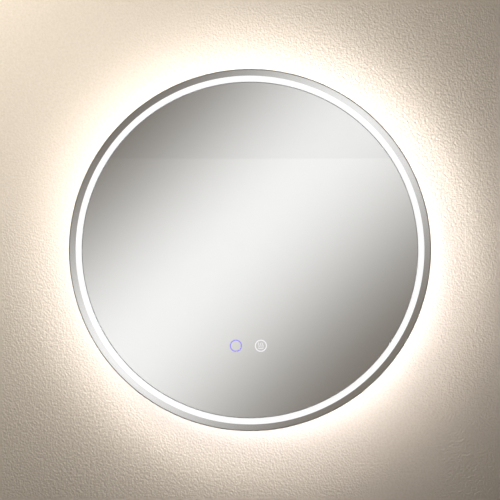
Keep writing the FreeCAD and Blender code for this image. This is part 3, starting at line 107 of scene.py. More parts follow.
# %% Add one node to a tree
def wire(tree, kind, inputs=None, **options):
    """A new node in the tree, with its options set and its inputs linked or filled in."""
    node = tree.nodes.new(kind)
    for name, choice in options.items():
        setattr(node, name, choice)
    for key, given in (inputs or {}).items():
        for source in given if isinstance(given, list) else [given]:
            if isinstance(source, bpy.types.NodeSocket):
                tree.links.new(source, node.inputs[key])
            else:
                node.inputs[key].default_value = source
    return node


def result(tree, kind, inputs=None, **options):
    """The first output of a new node."""
    return wire(tree, kind, inputs, **options).outputs[0]


# %% [markdown]
# ## Helpers for finishes
#
# Each finish is one Principled shader. What is the same all over a surface stands on the shader's own
# sockets. What varies is driven by noise in Object coordinates, at the scale of the real surface: a mottled
# colour, a spread of roughness, and a fine relief that the Bump node turns into shading.

# %% Start a finish
def shader_of(material):
    return material.node_tree.nodes["Principled BSDF"]


def finish(name, color, roughness, metallic=0.0, sockets=None):
    """A material with one Principled shader, set to plain values."""
    material = bpy.data.materials.new(name)
    material.use_nodes = True
    plain = {"Base Color": (*color, 1), "Roughness": roughness, "Metallic": metallic}
    for socket, setting in {**plain, **(sockets or {})}.items():
        shader_of(material).inputs[socket].default_value = setting
    return material


def feed(material, socket, source):
    """Lets a node's output drive one of the shader's sockets."""
    material.node_tree.links.new(source, shader_of(material).inputs[socket])
    return material


# %% Noise and tones in Object coordinates
NOISE_LOW = 0.3
NOISE_HIGH = 0.7


def object_place(tree):
    """The point that is shaded, in the object's own metres."""
    return wire(tree, "ShaderNodeTexCoord").outputs["Object"]


def object_noise(tree, size, stretch=(1, 1, 1), detail=3.0):
    """Noise whose blotches are about one size across, in metres, drawn out along the stretched axes."""
    placed = result(tree, "ShaderNodeMapping", {"Vector": object_place(tree), "Scale": stretch})
    inputs = {"Vector": placed, "Scale": 1 / size, "Detail": detail}
    return result(tree, "ShaderNodeTexNoise", inputs)


def ranged(tree, level, start, end, low, high, **options):
    """A level carried from one range to another, and held at its ends."""
    inputs = {"Value": level, "From Min": start, "From Max": end, "To Min": low, "To Max": high}
    return result(tree, "ShaderNodeMapRange", inputs, **options)


def from_noise(tree, noise, low, high):
    """Carries noise, which seldom leaves its middle, to a range of its own."""
    return ranged(tree, noise, NOISE_LOW, NOISE_HIGH, low, high)


def blend(tree, share, under, over):
    """A colour that goes from one tone to another as the share goes from 0 to 1."""
    mixed = wire(tree, "ShaderNodeMix", {0: share, 6: (*under, 1), 7: (*over, 1)}, data_type="RGBA")
    return mixed.outputs[2]


def ramp(tree, share, *stops):
    """A colour from two stops, each a place on the ramp and its tone."""
    node = wire(tree, "ShaderNodeValToRGB", {"Fac": share})
    for stop, (place, tone) in zip(node.color_ramp.elements, stops):
        stop.position = place
        stop.color = (*tone, 1)
    return node.outputs["Color"]


# %% Mottle, spread, relief and grain
MOTTLE_LOW = 0.35
MOTTLE_HIGH = 0.65


def mottle(material, dark, light, size, stretch=(1, 1, 1)):
    """Lets the colour wander between two tones."""
    tree = material.node_tree
    noise = object_noise(tree, size, stretch)
    return feed(material, "Base Color", ramp(tree, noise, (MOTTLE_LOW, dark), (MOTTLE_HIGH, light)))


def spread(material, low, high, size, stretch=(1, 1, 1)):
    """Lets the roughness wander, as handling and polish leave it."""
    tree = material.node_tree
    return feed(material, "Roughness", from_noise(tree, object_noise(tree, size, stretch), low, high))


def relief(material, height, depth):
    """Turns a height between 0 and 1 into fine relief of that depth in metres."""
    inputs = {"Height": height, "Distance": depth, "Strength": 1.0}
    return feed(material, "Normal", result(material.node_tree, "ShaderNodeBump", inputs))


def grain(material, size, depth, stretch=(1, 1, 1)):
    """A fine, even grain all over."""
    return relief(material, object_noise(material.node_tree, size, stretch), depth)


# %% [markdown]
# Rolled, brushed and moulded rings need a pattern that runs round the mirror's axis. Object coordinates give
# x and z, so the radius is their length about the centre and the angle is their arctangent. A pattern that
# reads only the radius and the stand-off then makes lines that follow the ring.

# %% Radius and angle about the mirror's axis
def calc(tree, operation, *terms):
    """One step of arithmetic on numbers or sockets."""
    return result(tree, "ShaderNodeMath", dict(enumerate(terms)), operation=operation)


def vector(tree, **parts):
    """A vector from the parts that are given; the others are zero."""
    return result(tree, "ShaderNodeCombineXYZ", parts)


def round_axis(tree):
    """The radius, the y and the angle of the shaded point about the mirror's axis, as sockets."""
    centring = {"Vector": object_place(tree), "Location": (0, 0, -CENTRE_UP)}
    centred = result(tree, "ShaderNodeMapping", centring)
    split = wire(tree, "ShaderNodeSeparateXYZ", {"Vector": centred}).outputs
    flat = vector(tree, X=split["X"], Z=split["Z"])
    radius = wire(tree, "ShaderNodeVectorMath", {0: flat}, operation="LENGTH").outputs["Value"]
    return radius, split["Y"], calc(tree, "ARCTAN2", split["Z"], split["X"])


def turned_lines(material, width, depth):
    """Fine lines that follow the ring, as rolling or turning leaves them."""
    tree = material.node_tree
    radius, y, _ = round_axis(tree)
    inputs = {"Vector": vector(tree, X=radius, Y=y), "Scale": 1 / width, "Detail": 2.0}
    return relief(material, result(tree, "ShaderNodeTexNoise", inputs), depth)


# %% [markdown]
# ## Glass, silver and frosting
#
# A mirror is clear glass with silver on its back. The pane is one solid, and each of its faces gets the
# finish that lies there: clear glass in front, ground glass on the rim, silver behind, and frosting where
# the silver was blasted off. Silver seen through 5 mm of glass gives the mirror its faint double image
# and its depth, which a plain shiny disc would not have.

# %% Clear front, ground rim and silver
GLASS_IOR = 1.52


def clear_glass():
    """Float glass is clear, and flat but for a swell of a few thousandths of a millimetre."""
    glass = finish("clear_float_glass", (0.98, 0.985, 0.98), 0.0,
                   sockets={"IOR": GLASS_IOR, "Transmission Weight": 1.0})
    return grain(glass, 0.09, 0.000004)


def ground_edge():
    """The rim is ground and polished: a tan grey-green, half matt, with fine lines along its length."""
    edge = finish("ground_glass_edge", (0.30, 0.29, 0.23), 0.28,
                  sockets={"IOR": GLASS_IOR, "Coat Weight": 0.5, "Coat Roughness": 0.12})
    mottle(edge, (0.26, 0.25, 0.20), (0.36, 0.35, 0.28), 0.006)
    return turned_lines(edge, 0.0002, 0.00002)


def silver_coat():
    """Sprayed silver, even to within a hair of tone."""
    silver = finish("silver_coat", (0.955, 0.955, 0.95), 0.0, metallic=1.0)
    return mottle(silver, (0.952, 0.952, 0.948), (0.957, 0.957, 0.952), 0.03)


# %% Frosting, lit and unlit
def scaled(tree, arrow, amount):
    return result(tree, "ShaderNodeVectorMath", {0: arrow, "Scale": amount}, operation="SCALE")


def frosting(name, color, strength=1.0):
    """Blasted glass, its glow from the lamps behind painted on as emission, a little uneven from the grit.
    """
    frost = finish(name, (0.05, 0.05, 0.05), 0.8,
                   sockets={"Specular IOR Level": 0.1, "Emission Strength": strength})
    tree = frost.node_tree
    level = from_noise(tree, object_noise(tree, 0.0006), 0.96, 1.0)
    # Painted glow: the frosting's own emission stands in for the lamps' light shining through it.
    return feed(frost, "Emission Color", scaled(tree, color, level))


def shaded_frosting():
    """The inner edge of the band, which the frame's flange keeps from the lamps."""
    frost = finish("shaded_frosting", (0.40, 0.39, 0.375), 0.7, sockets={"Specular IOR Level": 0.2})
    return mottle(frost, (0.37, 0.36, 0.345), (0.43, 0.42, 0.405), 0.0008)


CLEAR = clear_glass()
EDGE = ground_edge()
SILVER = silver_coat()
SHADED = shaded_frosting()
# The band, the key signs and the waves get painted glow: emission on the frosting, for the lamps behind.
BAND_FROST = frosting("painted_glow_frosting", (1.0, 1.0, 1.0), 1.03)
LIGHT_KEY_FROST = frosting("light_key_frosting", (0.30, 0.245, 1.0))
DEMISTER_KEY_FROST = frosting("demister_key_frosting", (0.95, 0.93, 0.95))
WAVE_FROST = frosting("wave_frosting", (0.93, 0.91, 0.93))
print("glass finishes:", [m.name for m in (CLEAR, EDGE, SILVER, SHADED, BAND_FROST)])

# %% [markdown]
# ## Opal acrylic
#
# Opal acrylic hides the lamps but not quite: beside each lamp it is a touch brighter, so its glow swells
# once for each lamp of the side tape. The lamps shine outwards, so the outer wall is by far the brightest,
# and as a tape loses voltage along its length, one side of the ring is brighter than the other.

# %% Opal acrylic, lit from inside
SIDE_LAMPS = 98
GLOW = 10.0
GLOW_COLOR = (0.95, 1.0, 1.18)
RIPPLE = 0.04
SIDE_SWING = 0.29
SIDE_TURN = math.radians(18)
FLANGE_GLOW = 0.012
FADE = 2 * MM


def times(tree, one, other):
    return calc(tree, "MULTIPLY", one, other)


def opal_acrylic():
    opal = finish("opal_acrylic", (0.84, 0.83, 0.81), 0.35,
                  sockets={"Emission Strength": GLOW, "Subsurface Weight": 0.1})
    tree = opal.node_tree
    radius, _, angle = round_axis(tree)
    lamp_wave = calc(tree, "COSINE", times(tree, angle, SIDE_LAMPS))
    lamps = ranged(tree, lamp_wave, -1, 1, 1 - 2 * RIPPLE, 1)
    outwards = ranged(tree, radius, OPAL_OUTER - FADE, OPAL_OUTER, FLANGE_GLOW, 1,
                      interpolation_type="SMOOTHERSTEP")
    side_wave = calc(tree, "COSINE", calc(tree, "ADD", angle, SIDE_TURN))
    side = ranged(tree, side_wave, -1, 1, 1 - SIDE_SWING, 1 + SIDE_SWING)
    level = times(tree, times(tree, lamps, outwards), side)
    feed(opal, "Emission Color", scaled(tree, GLOW_COLOR, level))
    return grain(opal, 0.0006, 0.00001)


opal_low, opal_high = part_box("opal_diffuser")
OPAL_OUTER = opal_high.x
OPAL = opal_acrylic()
print(f"opal ring of radius {OPAL_OUTER / MM:.1f} mm glows at", GLOW)

# %% [markdown]
# ## Metals
#
# The back panel is hot-dipped sheet. Its zinc freezes in flat crystals, the spangle, which a Voronoi pattern
# draws: each cell has its own tone and roughness. The service cover got its zinc in a bath of salts, which
# leaves it satin and paler. The bent bars show lines from rolling, and the screws are plated, with a slight
# yellow or blue tint.

# %% Zinc-coated sheets, with and without spangle
SPANGLE_PER_METRE = 210.0


def zinc_sheet():
    sheet = finish("zinc_coated_sheet", (0.56, 0.57, 0.58), 0.42, metallic=0.85)
    tree = sheet.node_tree
    crystals = wire(tree, "ShaderNodeTexVoronoi", {"Vector": object_place(tree), "Scale": SPANGLE_PER_METRE})
    tone = result(tree, "ShaderNodeSeparateColor", {"Color": crystals.outputs["Color"]})
    feed(sheet, "Base Color", ramp(tree, tone, (0, (0.55, 0.56, 0.57)), (1, (0.67, 0.68, 0.69))))
    feed(sheet, "Roughness", ranged(tree, tone, 0, 1, 0.34, 0.50))
    return grain(sheet, 0.0015, 0.00002)


def satin_zinc():
    satin = finish("satin_zinc_sheet", (0.72, 0.74, 0.76), 0.38, metallic=0.8)
    mottle(satin, (0.69, 0.71, 0.73), (0.75, 0.77, 0.79), 0.03)
    spread(satin, 0.32, 0.46, 0.012)
    return grain(satin, 0.0008, 0.00001)


# %% Bars, ring and screws
def rolled_bar():
    bar = finish("rolled_bar_steel", (0.58, 0.59, 0.60), 0.32, metallic=0.95)
    mottle(bar, (0.50, 0.51, 0.52), (0.64, 0.65, 0.66), 0.02, stretch=(0.2, 1, 1))
    spread(bar, 0.24, 0.42, 0.01, stretch=(0.1, 1, 1))
    return grain(bar, 0.0004, 0.00002, stretch=(0.03, 1, 1))


def anodised_ring():
    ring = finish("anodised_aluminium", (0.68, 0.69, 0.70), 0.36, metallic=0.95)
    return turned_lines(ring, 0.0003, 0.00003)


def plated_screw():
    screw = finish("plated_screw_steel", (0.66, 0.66, 0.64), 0.25, metallic=1.0)
    mottle(screw, (0.58, 0.60, 0.62), (0.72, 0.70, 0.62), 0.004)
    return spread(screw, 0.18, 0.36, 0.002)


# %% [markdown]
# ## Rubbers, foams and plastics
#
# Moulded pieces carry the fine texture of their mould. Rubber is matt with a little dust, foam has open
# pores, and the plastics differ mostly in colour and in how coarse the texture is.

# %% Soft materials
PORES_PER_METRE = 1400.0


def foam(name, tone):
    soft = finish(name, (tone, tone, tone), 0.9)
    tree = soft.node_tree
    pores = result(tree, "ShaderNodeTexVoronoi", {"Vector": object_place(tree), "Scale": PORES_PER_METRE})
    return relief(soft, pores, 0.0002)


def black_rubber():
    rubber = finish("black_rubber", (0.035, 0.035, 0.036), 0.6)
    mottle(rubber, (0.028, 0.028, 0.029), (0.055, 0.054, 0.052), 0.008)
    spread(rubber, 0.5, 0.75, 0.006)
    return grain(rubber, 0.0005, 0.00004)


# %% Moulded plastics
def moulded(name, color, roughness, texture=0.0006, depth=0.00003):
    """A plastic with its mould's texture and a slight drift of tone."""
    plastic = finish(name, color, roughness, sockets={"Specular IOR Level": 0.45})
    mottle(plastic, tuple(0.93 * c for c in color), color, 0.02)
    spread(plastic, roughness - 0.06, roughness + 0.08, 0.01)
    return grain(plastic, texture, depth)


# %% [markdown]
# ## Circuit boards, films and leads
#
# These lie inside the case, but a part is only finished when its inside is too. A board has copper tracks
# under green lacquer, the heating film has a printed track that runs to and fro, and the earth lead is
# green with a yellow stripe.

# %% Striped and printed finishes
def dot(tree, one, other):
    return wire(tree, "ShaderNodeVectorMath", {0: one, 1: other}, operation="DOT_PRODUCT").outputs["Value"]


def striped(material, pitch, share, direction, under, over):
    """Lays one tone over another on even bands across a direction, which fill a share of their pitch."""
    tree = material.node_tree
    step = times(tree, dot(tree, object_place(tree), direction), 1 / pitch)
    mask = calc(tree, "LESS_THAN", calc(tree, "FRACT", step), share)
    return feed(material, "Base Color", blend(tree, mask, under, over))


def lacquered_board():
    board = finish("lacquered_board", (0.03, 0.16, 0.07), 0.3, sockets={"Coat Weight": 0.4})
    return striped(board, 0.0026, 0.4, (1, 0, 0.35), (0.02, 0.13, 0.05), (0.05, 0.22, 0.09))


def heating_film():
    film = finish("heating_film", (0.55, 0.33, 0.12), 0.3)
    return striped(film, 0.006, 0.3, (0, 0, 1), (0.60, 0.38, 0.14), (0.45, 0.42, 0.38))


def earth_sheath():
    sheath = finish("earth_sheath", (0.10, 0.35, 0.06), 0.4)
    return striped(sheath, 0.0025, 0.45, (0, 1, 0.2), (0.05, 0.30, 0.05), (0.80, 0.66, 0.03))


# %% Lamps and light guides
def lamp_phosphor():
    """Yellow silicone over a lit chip."""
    lamp = finish("lamp_phosphor", (0.85, 0.68, 0.18), 0.35,
                  sockets={"Emission Color": (1.0, 0.93, 0.80, 1), "Emission Strength": 1.0})
    return mottle(lamp, (0.80, 0.62, 0.14), (0.90, 0.74, 0.26), 0.0012)


def light_guide():
    """Milky acrylic, moulded clear enough to pass a lamp's light along."""
    guide = finish("light_guide", (0.9, 0.9, 0.93), 0.1, sockets={"Transmission Weight": 0.6})
    return spread(guide, 0.06, 0.2, 0.002)


# %% [markdown]
# ## Which node wears which finish
#
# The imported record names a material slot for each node, so the finishes are handed out by slot. A node's
# shape stays as it is: only the material in its slots changes. The service cover shares the panel's slot,
# and gets its own zinc after that.

# %% Dress every node of the frame
FINISHES = {
    "mirror_pane": CLEAR,
    "silvering": moulded("grey_backing_paint", (0.33, 0.34, 0.35), 0.5),
    "foam_tape": foam("black_foam", 0.03),
    "anodised_aluminium": anodised_ring(),
    "opal_acrylic": OPAL,
    "tape_circuit": grain(finish("lamp_circuit", (0.86, 0.86, 0.84), 0.4), 0.002, 0.00003),
    "lamp_chip": lamp_phosphor(),
    "coated_steel": zinc_sheet(),
    "bar_steel": rolled_bar(),
    "screw_steel": plated_screw(),
    "tinned_copper": spread(finish("tinned_copper", (0.74, 0.71, 0.66), 0.3, metallic=1.0), 0.2, 0.4, 0.002),
    "black_rubber": black_rubber(),
    "box_plastic": moulded("dark_box_plastic", (0.09, 0.09, 0.095), 0.45),
    "block_plastic": moulded("ivory_block_plastic", (0.78, 0.76, 0.68), 0.3),
    "driver_plastic": moulded("white_case_plastic", (0.80, 0.80, 0.78), 0.45),
    "circuit_board": lacquered_board(),
    "ferrite": moulded("ferrite_and_winding", (0.05, 0.045, 0.045), 0.55),
    "capacitor_can": spread(finish("capacitor_can", (0.06, 0.07, 0.10), 0.35), 0.28, 0.45, 0.004),
    "heating_film": heating_film(),
    "sensor_plastic": moulded("black_sensor_plastic", (0.035, 0.035, 0.037), 0.45),
    "light_guide": light_guide(),
    "electrode_foam": foam("conductive_foam", 0.12),
    "mains_sheath": moulded("white_sheath", (0.80, 0.80, 0.77), 0.4, texture=0.001),
    "lead_sheath": moulded("white_twin_sheath", (0.76, 0.76, 0.72), 0.4, texture=0.001),
    "earth_sheath": earth_sheath(),
    "clip_plastic": moulded("white_clip_plastic", (0.78, 0.78, 0.75), 0.4),
}
slot_of = {row["node"]: row["material_slot"] for row in frame["record"]["subparts"]}
for name, node in frame["nodes"].items():
    node.data.materials.clear()
    node.data.materials.append(FINISHES[slot_of[name]])
frame["nodes"]["service_cover"].data.materials[0] = satin_zinc()
print("dressed", len(slot_of), "nodes in", len(FINISHES) + 1, "finishes")

# %% [markdown]
# ## A tree that turns a drawn section round an axis
#
# The pane, the opal ring and the key rings are all bodies of revolution, as a lathe or a ring mould makes
# them. In Blender, Spin or the Screw modifier would do, but a Geometry Nodes tree keeps the section, the
# centre and the number of steps as named inputs, and one tree serves every ring. The section is a curve of
# (radius, stand-off) points, and Curve to Mesh carries it round a circle.

# %% Start and end a Geometry Nodes tree
def new_tree(name, *inputs):
    """An empty Geometry Nodes tree with a geometry in and out, a finish, and inputs as (kind, names...)."""
    tree = bpy.data.node_groups.new(name, "GeometryNodeTree")
    for kind, *labels in (("Geometry", "Geometry"), *inputs, ("Material", "Finish")):
        for label in labels:
            tree.interface.new_socket(label, in_out="INPUT", socket_type="NodeSocket" + kind)
    tree.interface.new_socket("Geometry", in_out="OUTPUT", socket_type="NodeSocketGeometry")
    return tree, tree.nodes.new("NodeGroupInput").outputs


def end_tree(tree, geometry, material):
    """Ends a tree as the export needs it: real geometry with its material set."""
    real = result(tree, "GeometryNodeRealizeInstances", {"Geometry": geometry})
    dressed = result(tree, "GeometryNodeSetMaterial", {"Geometry": real, "Material": material})
    wire(tree, "NodeGroupOutput", {"Geometry": dressed})
    return tree


# %% Circles, sweeps and moves
def circle(tree, steps, radius):
    return result(tree, "GeometryNodeCurvePrimitiveCircle", {"Resolution": steps, "Radius": radius})


def sweep(tree, path, section, capped=False):
    """The skin that a section leaves when it is carried along a path."""
    inputs = {"Curve": path, "Profile Curve": section, "Fill Caps": capped}
    return result(tree, "GeometryNodeCurveToMesh", inputs)


def moved(tree, geometry, **change):
    """The geometry after a Translation, a Rotation or both."""
    return result(tree, "GeometryNodeTransform", {"Geometry": geometry, **change})


# %% Build the turning tree
TURN_REACH = 0.1
WELD = 1e-6
UP_TO_WALL = (math.radians(-90), 0, 0)


def turning_tree():
    tree, given = new_tree("turn_round_axis", ("Int", "Steps"), ("Vector", "Centre"))
    skin = sweep(tree, circle(tree, given["Steps"], TURN_REACH), given["Geometry"])
    closed = result(tree, "GeometryNodeMergeByDistance", {"Geometry": skin, "Distance": WELD})
    upright = moved(tree, closed, Translation=given["Centre"], Rotation=UP_TO_WALL)
    return end_tree(tree, upright, given["Finish"])


TURNING = turning_tree()
print("turning tree has", len(TURNING.nodes), "nodes")

# %% [markdown]
# A modifier's inputs are set by the sockets' identifiers. The evaluated result is then copied into a plain
# mesh, so the piece that stays in the scene has no modifier and sits at the origin.

# %% Run a tree and keep its result as a plain piece
SHARP_EDGE = math.radians(28)


def put(name, data):
    """A new object in the scene."""
    thing = bpy.data.objects.new(name, data)
    scene.collection.objects.link(thing)
    return thing


def run_tree(source, tree, settings):
    """Puts the tree on the source object with its named inputs filled in."""
    modifier = source.modifiers.new(tree.name, "NODES")
    modifier.node_group = tree
    for item in tree.interface.items_tree:
        if item.in_out == "INPUT" and item.name in settings:
            modifier[item.identifier] = settings[item.name]
    return source


def plain_piece(source, name, slot, body="mirror", replaces=(), extra_finishes=()):
    """The source's evaluated shape as a plain mesh that rides on a body; the source goes."""
    graph = bpy.context.evaluated_depsgraph_get()
    mesh = bpy.data.meshes.new_from_object(source.evaluated_get(graph), depsgraph=graph)
    bpy.data.objects.remove(source)
    mesh.name = name
    for material in extra_finishes:
        mesh.materials.append(material)
    mesh.polygons.foreach_set("use_smooth", [True] * len(mesh.polygons))
    mesh.set_sharp_from_angle(angle=SHARP_EDGE)
    piece = put(name, mesh)
    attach(piece, body)
    if replaces:
        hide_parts(*replaces)
    sizes = " x ".join(f"{side / MM:.1f}" for side in piece.dimensions)
    print(f"{name}: {len(mesh.polygons)} faces, {sizes} mm")
    return piece


# %% Turn a section into a piece
def turned_piece(name, section, steps, slot, material, centre=(0.0, CENTRE_UP), closed=False, **more):
    """A piece turned from a section of (radius, stand-off) points about an axis at a centre (across, up)."""
    drawing = bpy.data.curves.new(name + "_section", "CURVE")
    drawing.dimensions = "3D"
    line = drawing.splines.new("POLY")
    line.points.add(len(section) - 1)
    for point, (radius, standoff) in zip(line.points, section):
        point.co = (radius - TURN_REACH, standoff, 0, 1)
    line.use_cyclic_u = closed
    source = put(name + "_section", drawing)
    run_tree(source, TURNING, {"Steps": steps, "Centre": (centre[0], 0, centre[1]), "Finish": material})
    return plain_piece(source, name, slot, **more)


# %% [markdown]
# ## The pane
#
# The section starts on the axis behind, runs out over the silvered back, steps into the glass at the
# frosted band, turns round the ground rim and comes back over the front to the axis. The back lies a
# hair in front of the silvering's own solid, so that the two never share a plane.

# %% Turn the pane
RIM_WIDTH = 11 * MM
BAND_WIDTH = 11 * MM
ETCH_DEPTH = 0.2 * MM
ARRIS = 0.8 * MM
COAT_GAP = 0.02 * MM
SHADE_OVER_SILVER = 0.3 * MM
SHADE_OVER_BAND = 1.0 * MM
BAND_OUTER = RADIUS - RIM_WIDTH
BAND_INNER = BAND_OUTER - BAND_WIDTH
SHADE_FROM = BAND_INNER - SHADE_OVER_SILVER
SHADE_TO = BAND_INNER + SHADE_OVER_BAND
COAT = BACK + COAT_GAP
ETCHED = COAT + ETCH_DEPTH
PANE_STEPS = 384

pane_section = [
    (0.0, COAT),
    (SHADE_FROM, COAT),
    (BAND_INNER, COAT),
    (BAND_INNER, ETCHED),
    (SHADE_TO, ETCHED),
    (BAND_OUTER, ETCHED),
    (BAND_OUTER, COAT),
    (RADIUS - ARRIS, COAT),
    (RADIUS, COAT + ARRIS),
    (RADIUS, FRONT - ARRIS),
    (RADIUS - ARRIS, FRONT),
    (0.0, FRONT),
]
pane = turned_piece("mirror_pane_glass", pane_section, PANE_STEPS, "mirror_pane", CLEAR,
                    replaces=["mirror_glass"], extra_finishes=[EDGE, SILVER, SHADED, BAND_FROST])

# %% Hand out the pane's finishes by where each face lies
FACE_FINISH = {"clear": 0, "edge": 1, "silver": 2, "shaded": 3, "frost": 4}
HAIR = 0.05 * MM


def pane_finish(radius, standoff):
    """Which finish a face of the pane has, from the place of its middle."""
    if standoff > FRONT - HAIR:
        return "clear"
    if radius > RADIUS - ARRIS:
        return "edge"
    if SHADE_FROM < radius < SHADE_TO:
        return "shaded"
    return "frost" if standoff > COAT + HAIR else "silver"


counts = {}
for face in pane.data.polygons:
    middle = face.center
    kind = pane_finish(math.hypot(middle.x, middle.z - CENTRE_UP), -middle.y)
    face.material_index = FACE_FINISH[kind]
    counts[kind] = counts.get(kind, 0) + 1
print("faces of the pane:", counts)

# %% [markdown]
# ## The key signs
#
# Each touch key has a frosted ring, which the clear ring of its sensor lights; its glow is painted on the
# frosting as emission. Those sensor rings are in the frame, so they give the signs' places and their size.
# The signs are cut into the back of the glass: thin solids just inside it, seen through the pane like
# everything else on its back.

# %% The two rings
SIGN_STROKE = 1.7 * MM
SIGN_BACK = COAT + 0.03 * MM
SIGN_FRONT = SIGN_BACK + ETCH_DEPTH
SIGN_STEPS = 96


def key_place(sensor):
    """The key's centre, across and up, and its ring's radius, from the sensor's clear ring."""
    low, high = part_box(sensor + "_light_ring")
    return (low.x + high.x) / 2, (low.z + high.z) / 2, (high.x - low.x) / 2


def key_ring(name, sensor, material):
    across, up, outer = key_place(sensor)
    inner = outer - SIGN_STROKE
    section = [(inner, SIGN_BACK), (outer, SIGN_BACK), (outer, SIGN_FRONT), (inner, SIGN_FRONT)]
    return turned_piece(name, section, SIGN_STEPS, "mirror_pane", material, centre=(across, up), closed=True)


key_ring("light_key_ring", "light_sensor", LIGHT_KEY_FROST)
key_ring("demister_key_ring", "demister_sensor", DEMISTER_KEY_FROST)

# %% [markdown]
# The demister's sign is the usual one: three waves of warm air over a shallow bar. A wave is a line whose
# points are pushed sideways by a sine of their height, given a flat rectangular section, and repeated along
# a row. It is a small job for Geometry Nodes, and one tree could draw a hundred.

# %% Build the wave tree
WAVE_POINTS = 25


def rectangle(tree, width, height):
    return result(tree, "GeometryNodeCurvePrimitiveQuadrilateral", {"Width": width, "Height": height})


def shifted(tree, geometry, offset):
    """The geometry with every point pushed by its own offset."""
    return result(tree, "GeometryNodeSetPosition", {"Geometry": geometry, "Offset": offset})


def on_points(tree, points, geometry):
    """One copy of the geometry on each point."""
    return result(tree, "GeometryNodeInstanceOnPoints", {"Points": points, "Instance": geometry})


def wave_tree():
    tree, given = new_tree("waves_in_a_row", ("Float", "Height", "Sway", "Stroke", "Depth"),
                           ("Int", "Count"), ("Float", "Pitch"), ("Vector", "Centre"))
    top = vector(tree, Z=given["Height"])
    line = result(tree, "GeometryNodeCurvePrimitiveLine", {"End": top}, mode="POINTS")
    fine = result(tree, "GeometryNodeResampleCurve", {"Curve": line, "Count": WAVE_POINTS})
    share = result(tree, "GeometryNodeSplineParameter")
    sine = calc(tree, "SINE", times(tree, share, 2 * math.pi))
    bent = shifted(tree, fine, vector(tree, X=times(tree, sine, given["Sway"])))
    wave = sweep(tree, bent, rectangle(tree, given["Depth"], given["Stroke"]), capped=True)
    step = vector(tree, X=given["Pitch"])
    row = result(tree, "GeometryNodeMeshLine", {"Count": given["Count"], "Offset": step})
    placed = moved(tree, on_points(tree, row, wave), Translation=given["Centre"])
    return end_tree(tree, placed, given["Finish"])


WAVES = wave_tree()
print("wave tree has", len(WAVES.nodes), "nodes")

# %% The three waves
WAVE_COUNT = 3
WAVE_PITCH = 3.3 * MM
WAVE_STROKE = 1.1 * MM
WAVE_FOOT = -2.5 * MM
SIGN_MIDDLE = (SIGN_BACK + SIGN_FRONT) / 2


def empty_source(name):
    """A mesh object with nothing in it, for trees that make everything themselves."""
    return put(name, bpy.data.meshes.new(name))


key_across, key_up, _ = key_place("demister_sensor")
waves = run_tree(empty_source("waves"), WAVES, {
    "Height": 7.2 * MM, "Sway": 0.45 * MM, "Stroke": WAVE_STROKE, "Depth": ETCH_DEPTH,
    "Count": WAVE_COUNT, "Pitch": WAVE_PITCH, "Finish": WAVE_FROST,
    "Centre": on_wall(key_across - (WAVE_COUNT - 1) * WAVE_PITCH / 2, SIGN_MIDDLE, key_up + WAVE_FOOT)})
plain_piece(waves, "demister_key_waves", "mirror_pane")

# %% The bar below the waves
BAR_FOOT = -4.6 * MM
BAR_SPAN = 9.0 * MM
BAR_SAG = 0.9 * MM
BAR_STEPS = 16


def flat_ribbon(name, line, stroke, low, high):
    """A flat ribbon along (across, up) points, between two stand-offs, as a closed mesh object."""
    shape = bmesh.new()
    rows = []
    for i, here in enumerate(line):
        ahead = (line[min(i + 1, len(line) - 1)] - line[max(i - 1, 0)]).normalized()
        side = Vector((-ahead.y, ahead.x)) * stroke / 2
        corners = [(here - side, low), (here + side, low), (here + side, high), (here - side, high)]
        rows.append([shape.verts.new(on_wall(spot.x, standoff, spot.y)) for spot, standoff in corners])
    for one, two in zip(rows, rows[1:]):
        for k in range(4):
            shape.faces.new((one[k], one[(k + 1) % 4], two[(k + 1) % 4], two[k]))
    shape.faces.new(rows[0][::-1])
    shape.faces.new(rows[-1])
    bmesh.ops.recalc_face_normals(shape, faces=shape.faces)
    source = empty_source(name)
    shape.to_mesh(source.data)
    shape.free()
    return source


steps = [i / BAR_STEPS - 0.5 for i in range(BAR_STEPS + 1)]
arc = [Vector((key_across + BAR_SPAN * t, key_up + BAR_FOOT + BAR_SAG * (2 * t) ** 2)) for t in steps]
bar = flat_ribbon("demister_bar", arc, WAVE_STROKE, SIGN_BACK, SIGN_FRONT)
bar.data.materials.append(WAVE_FROST)
plain_piece(bar, "demister_key_bar", "mirror_pane")

# %% [markdown]
# ## The opal ring, turned smooth
#
# The ring's section is a channel, open towards the frame, with rounded outer corners. It is turned with the
# same tree as the pane, in as many steps, so that its edge is as smooth as the glass that it stands behind.

# %% Turn the opal ring
OPAL_WALL = 1.5 * MM
OPAL_ROUND = 2.0 * MM
ROUND_STEPS = 6
OPAL_REAR = -opal_high.y
OPAL_FRONT = -opal_low.y
OPAL_FOOT = 266.2 * MM


def rounded_corner(standoff, start):
    """Points of a quarter round from a start angle in degrees, with its centre at a stand-off."""
    radius = OPAL_OUTER - OPAL_ROUND
    points = []
    for i in range(ROUND_STEPS + 1):
        angle = math.radians(start + 90 * i / ROUND_STEPS)
        points.append((radius + OPAL_ROUND * math.cos(angle), standoff + OPAL_ROUND * math.sin(angle)))
    return points


opal_section = [(OPAL_FOOT, OPAL_REAR)]
opal_section += rounded_corner(OPAL_REAR + OPAL_ROUND, -90)
opal_section += rounded_corner(OPAL_FRONT - OPAL_ROUND, 0)
opal_section += [
    (OPAL_FOOT, OPAL_FRONT),
    (OPAL_FOOT, OPAL_FRONT - OPAL_WALL),
    (OPAL_OUTER - OPAL_WALL, OPAL_FRONT - OPAL_WALL),
    (OPAL_OUTER - OPAL_WALL, OPAL_REAR + OPAL_WALL),
    (OPAL_FOOT, OPAL_REAR + OPAL_WALL),
]
opal_ring = turned_piece("opal_ring", opal_section, PANE_STEPS, "opal_acrylic", OPAL, closed=True,
                         replaces=["opal_diffuser"])

